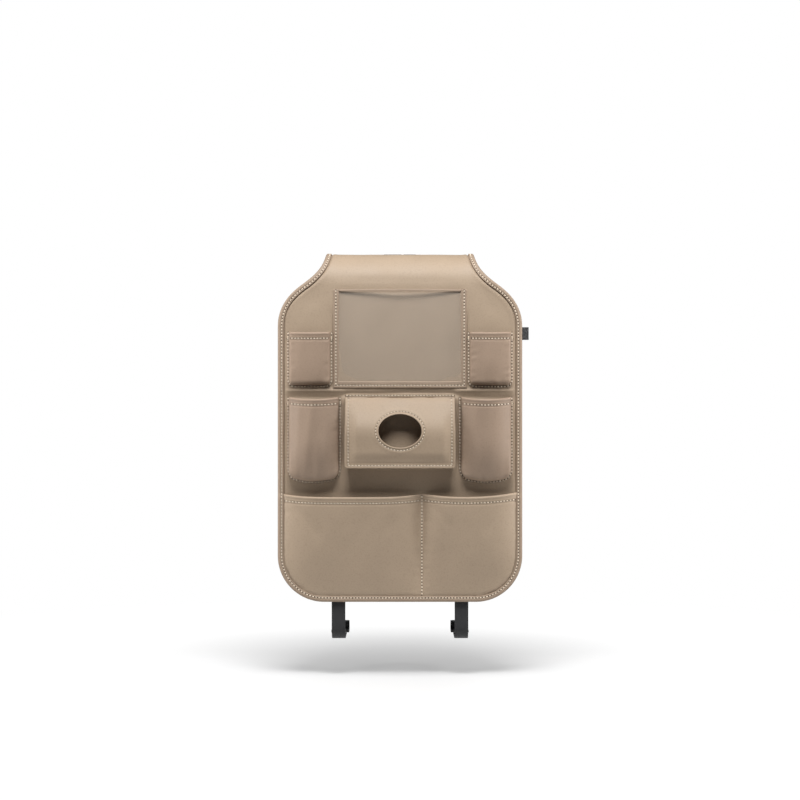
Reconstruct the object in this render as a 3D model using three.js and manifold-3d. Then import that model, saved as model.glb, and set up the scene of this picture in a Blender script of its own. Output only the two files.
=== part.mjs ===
// A backseat organizer for a car, as it hangs on the back of a front seat: a padded leatherette panel whose
// neck bends over the seat's top, six sewn pockets, two elastic straps below and a buckled strap above.
// Millimetres, +Z up. The pockets face -Y, the seat is on the +Y side, and X = 0 is the middle.
import * as THREE from "three";
import { mergeVertices } from "three/addons/utils/BufferGeometryUtils.js";
import Module from "manifold-3d";

const manifold = await Module();
manifold.setup();

// Padded panel. v runs along the sheet from its bottom edge, over the bend, to the end of the flap.
const PANEL_WIDTH = 478;
const NECK_WIDTH = 292;
const BOTTOM_CORNER = 90;
const FLAP_LENGTH = 72; // flat part that lies on the seat's top, past the bend
const FLAP_CORNER = 28;
const BEND_RADIUS = 62; // of the seat's top edge, under the lining
const SHOULDER_DROP = 80; // from the start of the bend down to the end of the straight side
const SHOULDER_REACH = 45; // from the neck out to the steepest point of the shoulder
const SHOULDER_SLOPE = [0.817, -0.577]; // direction of the edge at that point
const SHOULDER_STEEPEST = 2; // height of that point over the start of the bend
const NECK_RISE = 90; // from the start of the bend to where the neck runs straight
const PANEL_THICKNESS = 3;
const LINING_THICKNESS = 0.8;

// Folded edge binding, sewn round the whole edge.
const BINDING_WIDTH = 10;
const BINDING_THICKNESS = 0.9;
const SEAM_GAP = 0.3; // between sewn pieces whose faces are curved

// Pocket rows, stacked from the bottom edge upwards.
const SHEET = 1.5; // leatherette of the pocket fronts
const GUSSET_SHEET = 1.2;
const HEM = 14; // turned in along a pocket's mouth
const HEM_EASE = 1; // below the hem, over which a front thins to one sheet
const SIDE_MARGIN = 16.5; // from the panel's edge to the outer pockets
const BOTTOM_POCKET_HEIGHT = 208;
const BOTTOM_POCKET_FULLNESS = 20;
const DIVIDER_X = 43;
const DIVIDER_SEAM = 8;
const LOWER_ROW_GAP = 23;
const BOTTLE_HEIGHT = 170;
const BOTTLE_WALL = 20;
const BOTTLE_FULLNESS = 20;
const BOTTLE_CORNER = 13;
const BOTTLE_BOW = 9; // how far the bottom seam sags in the middle
const BOTTLE_FULL_FROM = 76.5; // height over its foot from which a bottle pocket is full
const UPPER_ROW_GAP = 18;
const TABLET_WIDTH = 262;
const TABLET_HEIGHT = 194;
const TABLET_STRIP = 11;
const TABLET_BOTTOM_STRIP = 13;
const TABLET_TOP_STRIP = 4;
const TABLET_FULLNESS = 8;
const WINDOW_SHEET = 0.5;
const TOP_MARGIN = 7;
const UPPER_COLUMN_GAP = 1;
const SIDE_POCKET_HEIGHT = 110;
const SIDE_POCKET_WALL = 9;
const SIDE_POCKET_FULLNESS = 4;
const SIDE_POCKET_CORNER = 10;
const LOWER_COLUMN_GAP = 7;
const WIPES_WIDTH = 216;
const WIPES_HEIGHT = 145;
const WIPES_LIFT = 6; // of its top above the bottle pockets
const WIPES_DEPTH = 36;
const WIPES_CORNER = 8;
const WIPES_TOP_MARGIN = 7;
const WIPES_KNEE = 57; // height over the pocket's foot where the lid starts to slope back
const WIPES_WALL_HEIGHT = 105; // of the gusset, past which the lid lies close to the panel
const WIPES_SLANT = -4; // the foot of its wall lies in from the lid's edge, which hides the flange
const OVAL_WIDTH = 84;
const OVAL_HEIGHT = 65;
const OVAL_RISE = 73; // of its middle over the pocket's foot
const LID_RINGS = [0, 0.12, 0.4, 0.7]; // shares of the way from the lid's edge to the oval's hem
const TAPE_WIDTH = 140;
const TAPE_THICKNESS = 1.2; // of each half of the hook-and-loop closure
const TAPE_INSET = 0.5; // up from the lid's bottom edge

// Gusset strips: a flange sewn to the panel, a wall, and a lip under the pocket's front.
const FLANGE = 4.5;
const WALL_SLANT = 1;
const LIP = 6;

// Label tab in the side seam.
const LABEL_HEIGHT = 25;
const LABEL_REACH = 12.5;
const LABEL_THICKNESS = 1.2;
const LABEL_DROP = 1.5; // below the end of the straight side

// Straps and their plastic fittings.
const STRAP_THICKNESS = 1.6;
const BAR = 4;
const TAIL = 24; // sewn back on itself past the bar
const RAMP_FROM = 6; // a sewn strap steps over the binding between these distances from it
const RAMP_TO = 0.6;
const RAIL = 3.5; // side rails that carry a bar
const FITTING_CLEARANCE = 1; // on each side of a strap in its fitting
const LOWER_STRAP_WIDTH = 27;
const LOWER_STRAP_X = 121;
const LOWER_STRAP_SEWN = 38;
const LOWER_STRAP_DROP = 46;
const LOWER_STRAP_BEND = 30;
const LOWER_STRAP_RUN = 78;
const HOOK_PLATE = 4;
const HOOK_NECK = 26;
const HOOK_RADIUS = 7;
const HOOK_TIP = 9;
const TOP_STRAP_WIDTH = 25;
const TOP_STRAP_X = 78;
const TOP_STRAP_SEWN = 36;
const TOP_STRAP_TWIST = 46;
const TOP_STRAP_CLEAR = 4; // past the flap's end, where the twist starts
const TOP_STRAP_BEND = 28;
const BUCKLE_BAR_X = 33; // from the buckle's middle to each bar
const BUCKLE_THICKNESS = 11;
const BUCKLE_WALL = 2.2;
const BUCKLE_CORNER = 3;
const BUCKLE_SPLIT = 5; // where the plug's shoulder meets the socket's mouth
const SOCKET_DEPTH = 26;
const WINDOW_FROM = 12; // of the side windows, measured in from the mouth
const WINDOW_LENGTH = 12;
const PRONG_PLAY = 0.6;
const PRONG_WIDTH = 5;
const PRONG_ROOT = 3; // of the prongs and their guide, inside the shoulder
const BARB_RUN = 5;
const BARB_TAPER = 1;
const TIP_TAPER = 3;
const GUIDE_SETBACK = 5; // of the guide's end from the prongs' tips

// Sizes that follow from those above.
const PANEL_FRONT = LINING_THICKNESS + PANEL_THICKNESS;
const LOWER_ROW = BOTTOM_POCKET_HEIGHT + LOWER_ROW_GAP;
const UPPER_ROW = LOWER_ROW + BOTTLE_HEIGHT + UPPER_ROW_GAP;
const BEND_START = UPPER_ROW + TABLET_HEIGHT + TOP_MARGIN;
const BEND_END = BEND_START + (BEND_RADIUS * Math.PI) / 2;
const SHEET_END = BEND_END + FLAP_LENGTH;
const FLAP_END_Y = BEND_RADIUS + FLAP_LENGTH;
const FLAP_Z = BEND_START + BEND_RADIUS; // underside of the flap's lining
const BINDING_BACK = SEAM_GAP + BINDING_THICKNESS; // how far the binding stands behind the lining
const HALF_STRAP = STRAP_THICKNESS / 2;
const TURN = BAR / 2 + SEAM_GAP + HALF_STRAP; // radius of a strap's middle round a bar

const smooth = (t) => Math.sin((Math.min(Math.max(t, 0), 1) * Math.PI) / 2);
const steps = (from, to, count) =>
  Array.from({ length: count + 1 }, (_, i) => from + ((to - from) * i) / count);

// Where a point of the sheet lies: u across, v along the sheet, w forwards from the back of the lining.
function onSeat([u, v], w) {
  if (v <= BEND_START) return new THREE.Vector3(u, -w, v);
  const turn = Math.min((v - BEND_START) / BEND_RADIUS, Math.PI / 2);
  const radius = BEND_RADIUS + w;
  return new THREE.Vector3(
    u,
    BEND_RADIUS - radius * Math.cos(turn) + Math.max(0, v - BEND_END),
    BEND_START + radius * Math.sin(turn),
  );
}

// A geometry from corners and triangles, turned so that its faces point out.
function closedGeometry(corners, triangles) {
  let volume = 0;
  for (const [a, b, c] of triangles)
    volume += corners[a].dot(corners[b].clone().cross(corners[c]));
  const faces = volume > 0 ? triangles : triangles.map(([a, b, c]) => [a, c, b]);
  return new THREE.BufferGeometry()
    .setFromPoints(corners)
    .setIndex(faces.flat());
}

// A flat net of triangles over points (u, v). Strips that meet share their points.
class Net {
  constructor() {
    this.points = [];
    this.triangles = [];
    this.known = new Map();
  }

  point([u, v]) {
    const key = u.toFixed(3) + " " + v.toFixed(3);
    if (!this.known.has(key)) this.known.set(key, this.points.push([u, v]) - 1);
    return this.known.get(key);
  }

  // Joins two rows of as many points; the second row lies to the left of the first one's direction.
  strip(first, second) {
    for (let i = 1; i < first.length; i++) {
      const [a, b, c, d] = [first[i - 1], first[i], second[i], second[i - 1]].map((p) => this.point(p));
      for (const face of [[a, b, d], [b, c, d]]) if (new Set(face).size === 3) this.triangles.push(face);
    }
  }

  // The closed solid between a back and a front height over the net, with a wall along every open edge.
  solid(back, front) {
    const count = this.points.length;
    const corners = [back, front].flatMap((height) => this.points.map((p) => onSeat(p, height(...p))));
    const faces = [];
    const used = new Set();
    for (const [a, b, c] of this.triangles) {
      faces.push([a + count, b + count, c + count], [a, c, b]);
      for (const edge of [[a, b], [b, c], [c, a]]) used.add(edge.join());
    }
    for (const edge of used) {
      const [a, b] = edge.split(",").map(Number);
      if (!used.has(b + "," + a)) faces.push([b + count, a + count, a], [b + count, a, b]);
    }
    return closedGeometry(corners, faces);
  }
}

// A solid through sections of as many corners each, closed into a ring or capped at both ends. Faces in the
// second half of a section are split the mirrored way, so a fold that is alike front and back stays so.
function loft(sections, ring = false) {
  const size = sections[0].length;
  const count = sections.length;
  const faces = [];
  for (let s = 0; s < (ring ? count : count - 1); s++)
    for (let k = 0; k < size; k++) {
      const [here, next] = [s * size, ((s + 1) % count) * size];
      const after = (k + 1) % size;
      const quad = [here + k, here + after, next + after, next + k];
      const [a, b, c, d] = k < size / 2 ? quad : [...quad.slice(1), quad[0]];
      faces.push([a, b, c], [a, c, d]);
    }
  if (!ring) {
    const cap = THREE.ShapeUtils.triangulateShape(flatten(sections[0]), []);
    const last = (count - 1) * size;
    for (const [a, b, c] of cap) faces.push([a, c, b], [last + a, last + b, last + c]);
  }
  return closedGeometry(sections.flat(), faces);
}

// A section's corners in its own plane, for its cap.
function flatten(section) {
  const across = section[1].clone().sub(section[0]).normalize();
  const normal = new THREE.Vector3();
  section.forEach((p, i) => normal.add(p.clone().cross(section[(i + 1) % section.length])));
  const up = normal.cross(across).normalize();
  return section.map((p) => new THREE.Vector2(p.dot(across), p.dot(up)));
}

function toManifold(geometry) {
  const bare = geometry.clone();
  bare.deleteAttribute("normal");
  bare.deleteAttribute("uv");
  const merged = mergeVertices(bare, 1e-4);
  return new manifold.Manifold(
    new manifold.Mesh({
      numProp: 3,
      vertProperties: merged.attributes.position.array,
      triVerts: new Uint32Array(merged.index.array),
    }),
  );
}

function fromManifold(solid) {
  const { vertProperties, triVerts } = solid.getMesh();
  return new THREE.BufferGeometry()
    .setAttribute("position", new THREE.BufferAttribute(vertProperties, 3))
    .setIndex(new THREE.BufferAttribute(triVerts, 1));
}

const box = (x, y, z) =>
  new THREE.BoxGeometry(x[1] - x[0], y[1] - y[0], z[1] - z[0]).translate(
    (x[0] + x[1]) / 2,
    (y[0] + y[1]) / 2,
    (z[0] + z[1]) / 2,
  );

const mirrored = (geometry) => {
  const copy = geometry.clone();
  const position = copy.attributes.position;
  for (let i = 0; i < position.count; i++) position.setX(i, -position.getX(i));
  const index = copy.index.array;
  for (let i = 0; i < index.length; i += 3) [index[i + 1], index[i + 2]] = [index[i + 2], index[i + 1]];
  return copy;
};

// The panel's right edge from the bottom up, as points with the direction that points into the sheet.
function rightEdge() {
  const half = PANEL_WIDTH / 2;
  const neck = NECK_WIDTH / 2;
  const edge = [];
  const arc = (cx, cy, radius, from, to, count) => {
    for (const angle of steps(from, to, count)) {
      const [cos, sin] = [Math.cos(angle), Math.sin(angle)];
      edge.push({ at: [cx + radius * cos, cy + radius * sin], inward: [-cos, -sin] });
    }
  };
  const straight = (u, v) => edge.push({ at: [u, v], inward: [-1, 0] });
  const bezier = (points, count) => {
    const curve = new THREE.CubicBezierCurve(...points.map(([u, v]) => new THREE.Vector2(u, v)));
    for (const t of steps(0, 1, count).slice(1)) {
      const [p, along] = [curve.getPoint(t), curve.getTangent(t)];
      edge.push({ at: [p.x, p.y], inward: [-along.y, along.x] });
    }
  };
  arc(half - BOTTOM_CORNER, BOTTOM_CORNER, BOTTOM_CORNER, -Math.PI / 2, 0, 7);
  straight(half, BOTTOM_POCKET_HEIGHT);
  straight(half, BOTTOM_POCKET_HEIGHT + LOWER_ROW_GAP / 3);
  const shoulder = BEND_START - SHOULDER_DROP;
  straight(half, shoulder);
  const steep = [neck + SHOULDER_REACH, BEND_START + SHOULDER_STEEPEST];
  const slope = SHOULDER_SLOPE;
  const toSteep = (SHOULDER_DROP * 3) / 8;
  const fromSteep = (NECK_RISE * 4) / 9;
  bezier(
    [
      [half, shoulder],
      [half, shoulder + SHOULDER_DROP / 2],
      [steep[0] + slope[0] * toSteep, steep[1] + slope[1] * toSteep],
      steep,
    ],
    6,
  );
  bezier(
    [
      steep,
      [steep[0] - slope[0] * fromSteep, steep[1] - slope[1] * fromSteep],
      [neck, BEND_START + NECK_RISE / 2.2],
      [neck, BEND_START + NECK_RISE],
    ],
    8,
  );
  if (BEND_END > BEND_START + NECK_RISE + SEAM_GAP) straight(neck, BEND_END);
  arc(neck - FLAP_CORNER, SHEET_END - FLAP_CORNER, FLAP_CORNER, 0, Math.PI / 2, 4);
  return edge;
}

const EDGE = rightEdge();

const insetPoint = ({ at, inward }, inset) => [at[0] + inward[0] * inset, at[1] + inward[1] * inset];
const mirrorPoint = ([u, v]) => [-u, v];

// The whole outline, counterclockwise from the bottom right, set in by a distance.
function outline(inset) {
  const right = EDGE.map((e) => insetPoint(e, inset));
  return [...right, ...right.map(mirrorPoint).reverse()];
}

// The panel and its lining are cut alike: a band under the binding, and rows from side to side within it.
function panelNet() {
  const net = new Net();
  const outer = outline(0);
  const inner = outline(BINDING_WIDTH);
  net.strip([...outer, outer[0]], [...inner, inner[0]]);
  const rows = EDGE.map((e) => insetPoint(e, BINDING_WIDTH)).map((p) => [mirrorPoint(p), p]);
  for (let i = 1; i < rows.length; i++) net.strip(rows[i - 1], rows[i]);
  return net;
}

const backPanel = () => panelNet().solid(() => LINING_THICKNESS, () => PANEL_FRONT);
const backLining = () => panelNet().solid(() => 0, () => LINING_THICKNESS);

// The binding is a U fold swept round the edge. Along the bottom pocket it takes that sheet in as well.
function edgeBinding() {
  const reach = -BINDING_BACK;
  const section = (e) => {
    const front = PANEL_FRONT + SEAM_GAP + (e.at[1] <= BOTTOM_POCKET_HEIGHT ? SHEET : 0);
    const back = -SEAM_GAP;
    return [
      [reach, back],
      [reach, front],
      [-SEAM_GAP, front + BINDING_THICKNESS],
      [BINDING_WIDTH, front + BINDING_THICKNESS],
      [BINDING_WIDTH, front],
      [-SEAM_GAP, front],
      [-SEAM_GAP, back],
      [BINDING_WIDTH, back],
      [BINDING_WIDTH, back - BINDING_THICKNESS],
      [-SEAM_GAP, back - BINDING_THICKNESS],
    ];
  };
  const right = EDGE.map((e) => section(e).map(([inset, w]) => onSeat(insetPoint(e, inset), w)));
  const left = right.map((points) => points.map((p) => new THREE.Vector3(-p.x, p.y, p.z)));
  return loft([...right, ...left.reverse()], true);
}

// The bottom pocket: one sheet caught in the binding and along a divider seam, full at its mouth.
function bottomPocket() {
  const net = new Net();
  const levels = steps(BOTTOM_CORNER, BOTTOM_POCKET_HEIGHT - HEM - HEM_EASE, 4).slice(1);
  levels.push(BOTTOM_POCKET_HEIGHT - HEM, BOTTOM_POCKET_HEIGHT);
  const corner = EDGE.filter((e) => e.at[1] <= BOTTOM_CORNER);
  const side = (inset) => [
    ...corner.map((e) => insetPoint(e, inset)),
    ...levels.map((v) => [PANEL_WIDTH / 2 - inset, v]),
  ];
  const [outer, inner] = [side(0), side(BINDING_WIDTH)];
  net.strip(outer, inner);
  net.strip(outer.map(mirrorPoint).reverse(), inner.map(mirrorPoint).reverse());
  const seam = [DIVIDER_X - DIVIDER_SEAM / 2, DIVIDER_X + DIVIDER_SEAM / 2];
  const columns = (half) => [...steps(-half, seam[0], 9), ...steps(seam[1], half, 7)];
  const rows = inner.map(([half, v]) => columns(half).map((u) => [u, v]));
  net.strip(rows[0].map(([u]) => [u, 0]), rows[0]);
  for (let i = 1; i < rows.length; i++) net.strip(rows[i - 1], rows[i]);

  const halfAt = (v) => {
    const below = Math.max(0, BOTTOM_CORNER - v);
    const radius = BOTTOM_CORNER - BINDING_WIDTH;
    return PANEL_WIDTH / 2 - BOTTOM_CORNER + Math.sqrt(Math.max(0, radius ** 2 - below ** 2));
  };
  const fullness = (u, v) => {
    const [from, to] = u < DIVIDER_X ? [-halfAt(v), seam[0]] : [seam[1], halfAt(v)];
    const share = (2 * u - from - to) / (to - from);
    const rise = smooth((v - BINDING_WIDTH) / (BOTTOM_POCKET_HEIGHT - BINDING_WIDTH));
    return BOTTOM_POCKET_FULLNESS * Math.max(0, 1 - share ** 4) * rise;
  };
  const fold = (v) => (v >= BOTTOM_POCKET_HEIGHT - HEM ? SHEET : 0);
  return net.solid(
    (u, v) => PANEL_FRONT + Math.max(0, fullness(u, v) - fold(v)),
    (u, v) => PANEL_FRONT + SHEET + fullness(u, v),
  );
}

// Rows of a pocket's front from its bottom seam up, round at the lower corners and sagging by the bow.
function pocketRows({ x, z, half, height, corner, bow, levels, columns }) {
  const halfAt = (v) => half - corner + Math.sqrt(corner ** 2 - Math.max(0, corner - v) ** 2);
  const arc = steps(0, Math.PI / 2, 4).map((angle) => corner * (1 - Math.cos(angle)));
  return [...arc, ...levels].map((v) =>
    steps(-halfAt(v), halfAt(v), columns).map((u) => [
      x + u,
      z + v - bow * (1 - (u / half) ** 2) * (1 - v / height) ** 2,
    ]),
  );
}

// The seam that joins a pocket's front to its gusset: down the left side, along the bottom, up the right.
const seamOf = (rows) => [
  ...rows.map((row) => row[0]).reverse(),
  ...rows[0].slice(1, -1),
  ...rows.map((row) => row[row.length - 1]),
];

// A gusset strip along a seam. depth gives how far in front of the panel its lip stands, and slant how far
// the foot of its wall lies out from the seam.
function gusset(seam, depth, slant) {
  const sections = seam.map((p, i) => {
    const before = seam[Math.max(i - 1, 0)];
    const after = seam[Math.min(i + 1, seam.length - 1)];
    const length = Math.hypot(after[0] - before[0], after[1] - before[1]);
    const outward = [(after[1] - before[1]) / length, (before[0] - after[0]) / length];
    const top = PANEL_FRONT + depth(p[1]);
    return [
      [slant + FLANGE, PANEL_FRONT],
      [slant + FLANGE, PANEL_FRONT + GUSSET_SHEET],
      [slant, PANEL_FRONT + GUSSET_SHEET],
      [0, top],
      [-LIP, top],
      [-LIP, top - GUSSET_SHEET],
      [-GUSSET_SHEET, top - GUSSET_SHEET],
      [slant - GUSSET_SHEET, PANEL_FRONT],
    ].map(([reach, w]) => onSeat([p[0] + outward[0] * reach, p[1] + outward[1] * reach], w));
  });
  return loft(sections);
}

// A box pocket: a front with a turned hem, crowned between its seams, on a gusset of even depth.
function boxPocket({ x, z, width, height, corner, bow, wall, fullness, fullFrom, columns }) {
  const half = width / 2 - FLANGE - WALL_SLANT;
  const base = FLANGE + WALL_SLANT + bow;
  const tall = height - base;
  const levels = [...steps(corner, tall - HEM - HEM_EASE, 4).slice(1), tall - HEM, tall];
  const rows = pocketRows({ x, z: z + base, half, height: tall, corner, bow, levels, columns });
  const net = new Net();
  for (let i = 1; i < rows.length; i++) net.strip(rows[i - 1], rows[i]);
  const crown = new Map();
  rows.forEach((row, i) =>
    row.forEach((p, k) => {
      const share = (2 * k) / columns - 1;
      const rise = smooth((p[1] - rows[0][k][1]) / fullFrom);
      crown.set(net.point(p), i ? fullness * (1 - share ** 2) * rise : 0);
    }),
  );
  const crownAt = (u, v) => crown.get(net.point([u, v]));
  const fold = (v) => (v > z + height - HEM - HEM_EASE / 2 ? SHEET : 0);
  const seat = PANEL_FRONT + wall;
  return {
    front: net.solid(
      (u, v) => seat + Math.max(0, crownAt(u, v) - fold(v)),
      (u, v) => seat + SHEET + crownAt(u, v),
    ),
    gusset: gusset(seamOf(rows), () => wall - SEAM_GAP, WALL_SLANT),
  };
}

// Side pockets beside the tablet pocket, which fill the width that it leaves.
function sidePocket(side) {
  const outer = PANEL_WIDTH / 2 - SIDE_MARGIN;
  const inner = TABLET_WIDTH / 2 + UPPER_COLUMN_GAP;
  return boxPocket({
    x: (side * (outer + inner)) / 2,
    z: UPPER_ROW,
    width: outer - inner,
    height: SIDE_POCKET_HEIGHT,
    corner: SIDE_POCKET_CORNER,
    bow: 0,
    wall: SIDE_POCKET_WALL,
    fullness: SIDE_POCKET_FULLNESS,
    fullFrom: SIDE_POCKET_HEIGHT / 2,
    columns: 6,
  });
}

// Bottle pockets on both sides of the wipes pocket.
function bottlePocket(side) {
  const outer = PANEL_WIDTH / 2 - SIDE_MARGIN;
  const inner = WIPES_WIDTH / 2 + LOWER_COLUMN_GAP;
  return boxPocket({
    x: (side * (outer + inner)) / 2,
    z: LOWER_ROW,
    width: outer - inner,
    height: BOTTLE_HEIGHT,
    corner: BOTTLE_CORNER,
    bow: BOTTLE_BOW,
    wall: BOTTLE_WALL,
    fullness: BOTTLE_FULLNESS,
    fullFrom: BOTTLE_FULL_FROM,
    columns: 10,
  });
}

// The tablet pocket: a clear window sewn down under a leatherette frame, open at its bowed top edge.
function tabletPocket() {
  const half = TABLET_WIDTH / 2;
  const columns = [-half, ...steps(TABLET_STRIP - half, half - TABLET_STRIP, 8), half];
  const levels = [
    0,
    ...steps(TABLET_BOTTOM_STRIP, TABLET_HEIGHT - TABLET_TOP_STRIP, 4),
    TABLET_HEIGHT,
  ];
  const rows = levels.map((v) => columns.map((u) => [u, UPPER_ROW + v]));
  const clear = half - TABLET_STRIP;
  const bow = (u, v) =>
    TABLET_FULLNESS *
    Math.max(0, 1 - (u / clear) ** 2) *
    smooth((v - UPPER_ROW - TABLET_BOTTOM_STRIP) / (TABLET_HEIGHT - TABLET_BOTTOM_STRIP));
  const window = new Net();
  const frame = new Net();
  const last = rows.length - 1;
  for (let i = 1; i <= last; i++) {
    window.strip(rows[i - 1], rows[i]);
    const whole = i === 1 || i === last;
    const parts = whole ? [[0, columns.length]] : [[0, 2], [columns.length - 2, columns.length]];
    for (const [from, to] of parts) frame.strip(rows[i - 1].slice(from, to), rows[i].slice(from, to));
  }
  const behind = (u, v) => PANEL_FRONT + bow(u, v);
  const between = (u, v) => PANEL_FRONT + WINDOW_SHEET + bow(u, v);
  return {
    window: window.solid(behind, between),
    frame: frame.solid(between, (u, v) => between(u, v) + SHEET),
  };
}

// The wipes pocket: a lid with an oval hole, sewn on along its top, that closes over a boxed gusset.
const WIPES_BOTTOM = LOWER_ROW + BOTTLE_HEIGHT + WIPES_LIFT - WIPES_HEIGHT;
const WIPES_LID_STANDOFF = 2 * TAPE_THICKNESS; // room for the two closure tapes

function wipesLidDepth(v) {
  const top = WIPES_BOTTOM + WIPES_HEIGHT - WIPES_TOP_MARGIN;
  const knee = WIPES_BOTTOM + WIPES_KNEE;
  return WIPES_DEPTH * Math.cos((Math.min(Math.max((v - knee) / (top - knee), 0), 1) * Math.PI) / 2);
}

function wipesPocket() {
  const z = WIPES_BOTTOM;
  const half = WIPES_WIDTH / 2;
  const height = WIPES_HEIGHT;
  const levels = steps(WIPES_CORNER, height - WIPES_TOP_MARGIN, 10).slice(1);
  const shape = { x: 0, z, half, height, corner: WIPES_CORNER, bow: 0, columns: 12 };
  const rows = pocketRows({ ...shape, levels: [...levels, height] });
  const rim = [...seamOf(rows), ...rows[rows.length - 1].slice(1, -1).reverse()];
  const middle = z + OVAL_RISE;
  const oval = (grow) =>
    rim.map(([u, v]) => {
      const angle = Math.atan2((v - middle) / height, u / WIPES_WIDTH);
      return [
        (OVAL_WIDTH / 2 + grow) * Math.cos(angle),
        middle + (OVAL_HEIGHT / 2 + grow) * Math.sin(angle),
      ];
    });
  const hem = oval(HEM);
  const between = (share) => rim.map((p, i) => p.map((value, k) => value + (hem[i][k] - value) * share));
  const rings = [...LID_RINGS.map(between), hem, oval(0)];
  const lid = new Net();
  const closed = (ring) => [...ring, ring[0]];
  for (let i = 1; i < rings.length; i++) lid.strip(closed(rings[i - 1]), closed(rings[i]));
  const depth = (v) => PANEL_FRONT + wipesLidDepth(v);

  const walled = pocketRows({ ...shape, levels: levels.filter((v) => v < WIPES_WALL_HEIGHT) });
  const wall = (v) => wipesLidDepth(v) - WIPES_LID_STANDOFF;
  const tape = (from, to) => {
    const net = new Net();
    const row = (v) => [-1, 1].map((side) => [(side * TAPE_WIDTH) / 2, v]);
    net.strip(row(z + TAPE_INSET), row(z + LIP));
    return net.solid(() => from, () => to);
  };
  const lip = PANEL_FRONT + WIPES_DEPTH - WIPES_LID_STANDOFF;
  return {
    lid: lid.solid((u, v) => depth(v), (u, v) => depth(v) + SHEET),
    gusset: gusset(seamOf(walled), wall, WIPES_SLANT),
    hookTape: tape(lip, lip + TAPE_THICKNESS),
    loopTape: tape(lip + TAPE_THICKNESS, lip + 2 * TAPE_THICKNESS),
  };
}

// The label tab is a folded ribbon that stands out of the right side seam.
function labelTab() {
  const top = BEND_START - SHOULDER_DROP - LABEL_DROP;
  const from = PANEL_WIDTH / 2 + BINDING_BACK;
  const middle = -PANEL_FRONT / 2;
  return box(
    [from, from + LABEL_REACH],
    [middle - LABEL_THICKNESS / 2, middle + LABEL_THICKNESS / 2],
    [top - LABEL_HEIGHT, top],
  );
}

// Points of a half turn round a bar at (x, y), starting on one side of it and ending on the other.
const halfTurn = (x, y, side) =>
  steps(-Math.PI / 2, Math.PI / 2, 6).map((a) => [x + TURN * Math.cos(a), y + side * TURN * Math.sin(a)]);

// The outline of a strap that follows a path in a plane, half its thickness to either side.
function strapOutline(path) {
  const unit = (a, b) => new THREE.Vector2(b[0] - a[0], b[1] - a[1]).normalize();
  const offset = (sign) =>
    path.map((p, i) => {
      const out = i < path.length - 1 ? unit(p, path[i + 1]) : unit(path[i - 1], p);
      const into = i ? unit(path[i - 1], p) : out;
      const along = into.clone().add(out).normalize();
      const reach = (sign * HALF_STRAP) / along.dot(into);
      return new THREE.Vector2(p[0] - along.y * reach, p[1] + along.x * reach);
    });
  return new THREE.Shape([...offset(1), ...offset(-1).reverse()]);
}

// A lower elastic strap: sewn behind the bottom edge, down past it, back under the seat and round the bar.
function lowerStrapPath() {
  const onLining = HALF_STRAP;
  const onBinding = BINDING_BACK + HALF_STRAP;
  const low = -LOWER_STRAP_DROP - LOWER_STRAP_BEND;
  const bend = steps(0, Math.PI / 2, 6).map((a) => [
    onBinding + LOWER_STRAP_BEND * (1 - Math.cos(a)),
    -LOWER_STRAP_DROP - LOWER_STRAP_BEND * Math.sin(a),
  ]);
  const bar = onBinding + LOWER_STRAP_BEND + LOWER_STRAP_RUN;
  return [
    [onLining, BINDING_WIDTH + LOWER_STRAP_SEWN],
    [onLining, BINDING_WIDTH + RAMP_FROM],
    [onBinding, BINDING_WIDTH + RAMP_TO],
    ...bend,
    ...halfTurn(bar, low + TURN, 1),
    [bar - TAIL, low + STRAP_THICKNESS + SEAM_GAP],
  ];
}

// Extrudes a shape drawn in Y and Z along X, centred on X = 0.
function extrudeAcross(shape, width) {
  const settings = { depth: width, bevelEnabled: false, curveSegments: 8 };
  return new THREE.ExtrudeGeometry(shape, settings).translate(0, 0, -width / 2).applyMatrix4(
    new THREE.Matrix4().makeBasis(
      new THREE.Vector3(0, 1, 0),
      new THREE.Vector3(0, 0, 1),
      new THREE.Vector3(1, 0, 0),
    ),
  );
}

const lowerStrap = () => extrudeAcross(strapOutline(lowerStrapPath()), LOWER_STRAP_WIDTH);

// A lower hook, moulded in one: two rails that carry the strap's bar, a neck and a hook that opens
// forwards.
function lowerHook() {
  const width = LOWER_STRAP_WIDTH + 2 * FITTING_CLEARANCE + 2 * RAIL;
  const half = HOOK_PLATE / 2;
  const outer = HOOK_RADIUS + HOOK_PLATE;
  const middle = half + HOOK_RADIUS;
  const profile = new THREE.Shape();
  profile.moveTo(-half, -half);
  profile.lineTo(HOOK_NECK, -half);
  profile.absarc(HOOK_NECK, middle, outer, -Math.PI / 2, Math.PI / 2, false);
  profile.lineTo(HOOK_NECK - HOOK_TIP, middle + outer);
  profile.lineTo(HOOK_NECK - HOOK_TIP, middle + HOOK_RADIUS);
  profile.lineTo(HOOK_NECK, middle + HOOK_RADIUS);
  profile.absarc(HOOK_NECK, middle, HOOK_RADIUS, Math.PI / 2, -Math.PI / 2, true);
  profile.lineTo(-half, half);
  const body = toManifold(extrudeAcross(profile, width));
  const opening = LOWER_STRAP_WIDTH / 2 + FITTING_CLEARANCE;
  const reach = TURN + HALF_STRAP + FITTING_CLEARANCE;
  const slot = toManifold(box([-opening, opening], [-2 * BAR, reach], [-BAR, BAR]));
  const bar = new THREE.CylinderGeometry(BAR / 2, BAR / 2, width, 12).rotateZ(Math.PI / 2);
  return fromManifold(body.subtract(slot).add(toManifold(bar)));
}

// A rectangle of a strap's section from its middle, its half width and its half thickness.
const strapSection = (middle, across, through) =>
  [[1, 1], [-1, 1], [-1, -1], [1, -1]].map(([a, t]) =>
    middle.clone().addScaledVector(across, a).addScaledVector(through, t),
  );

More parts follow.
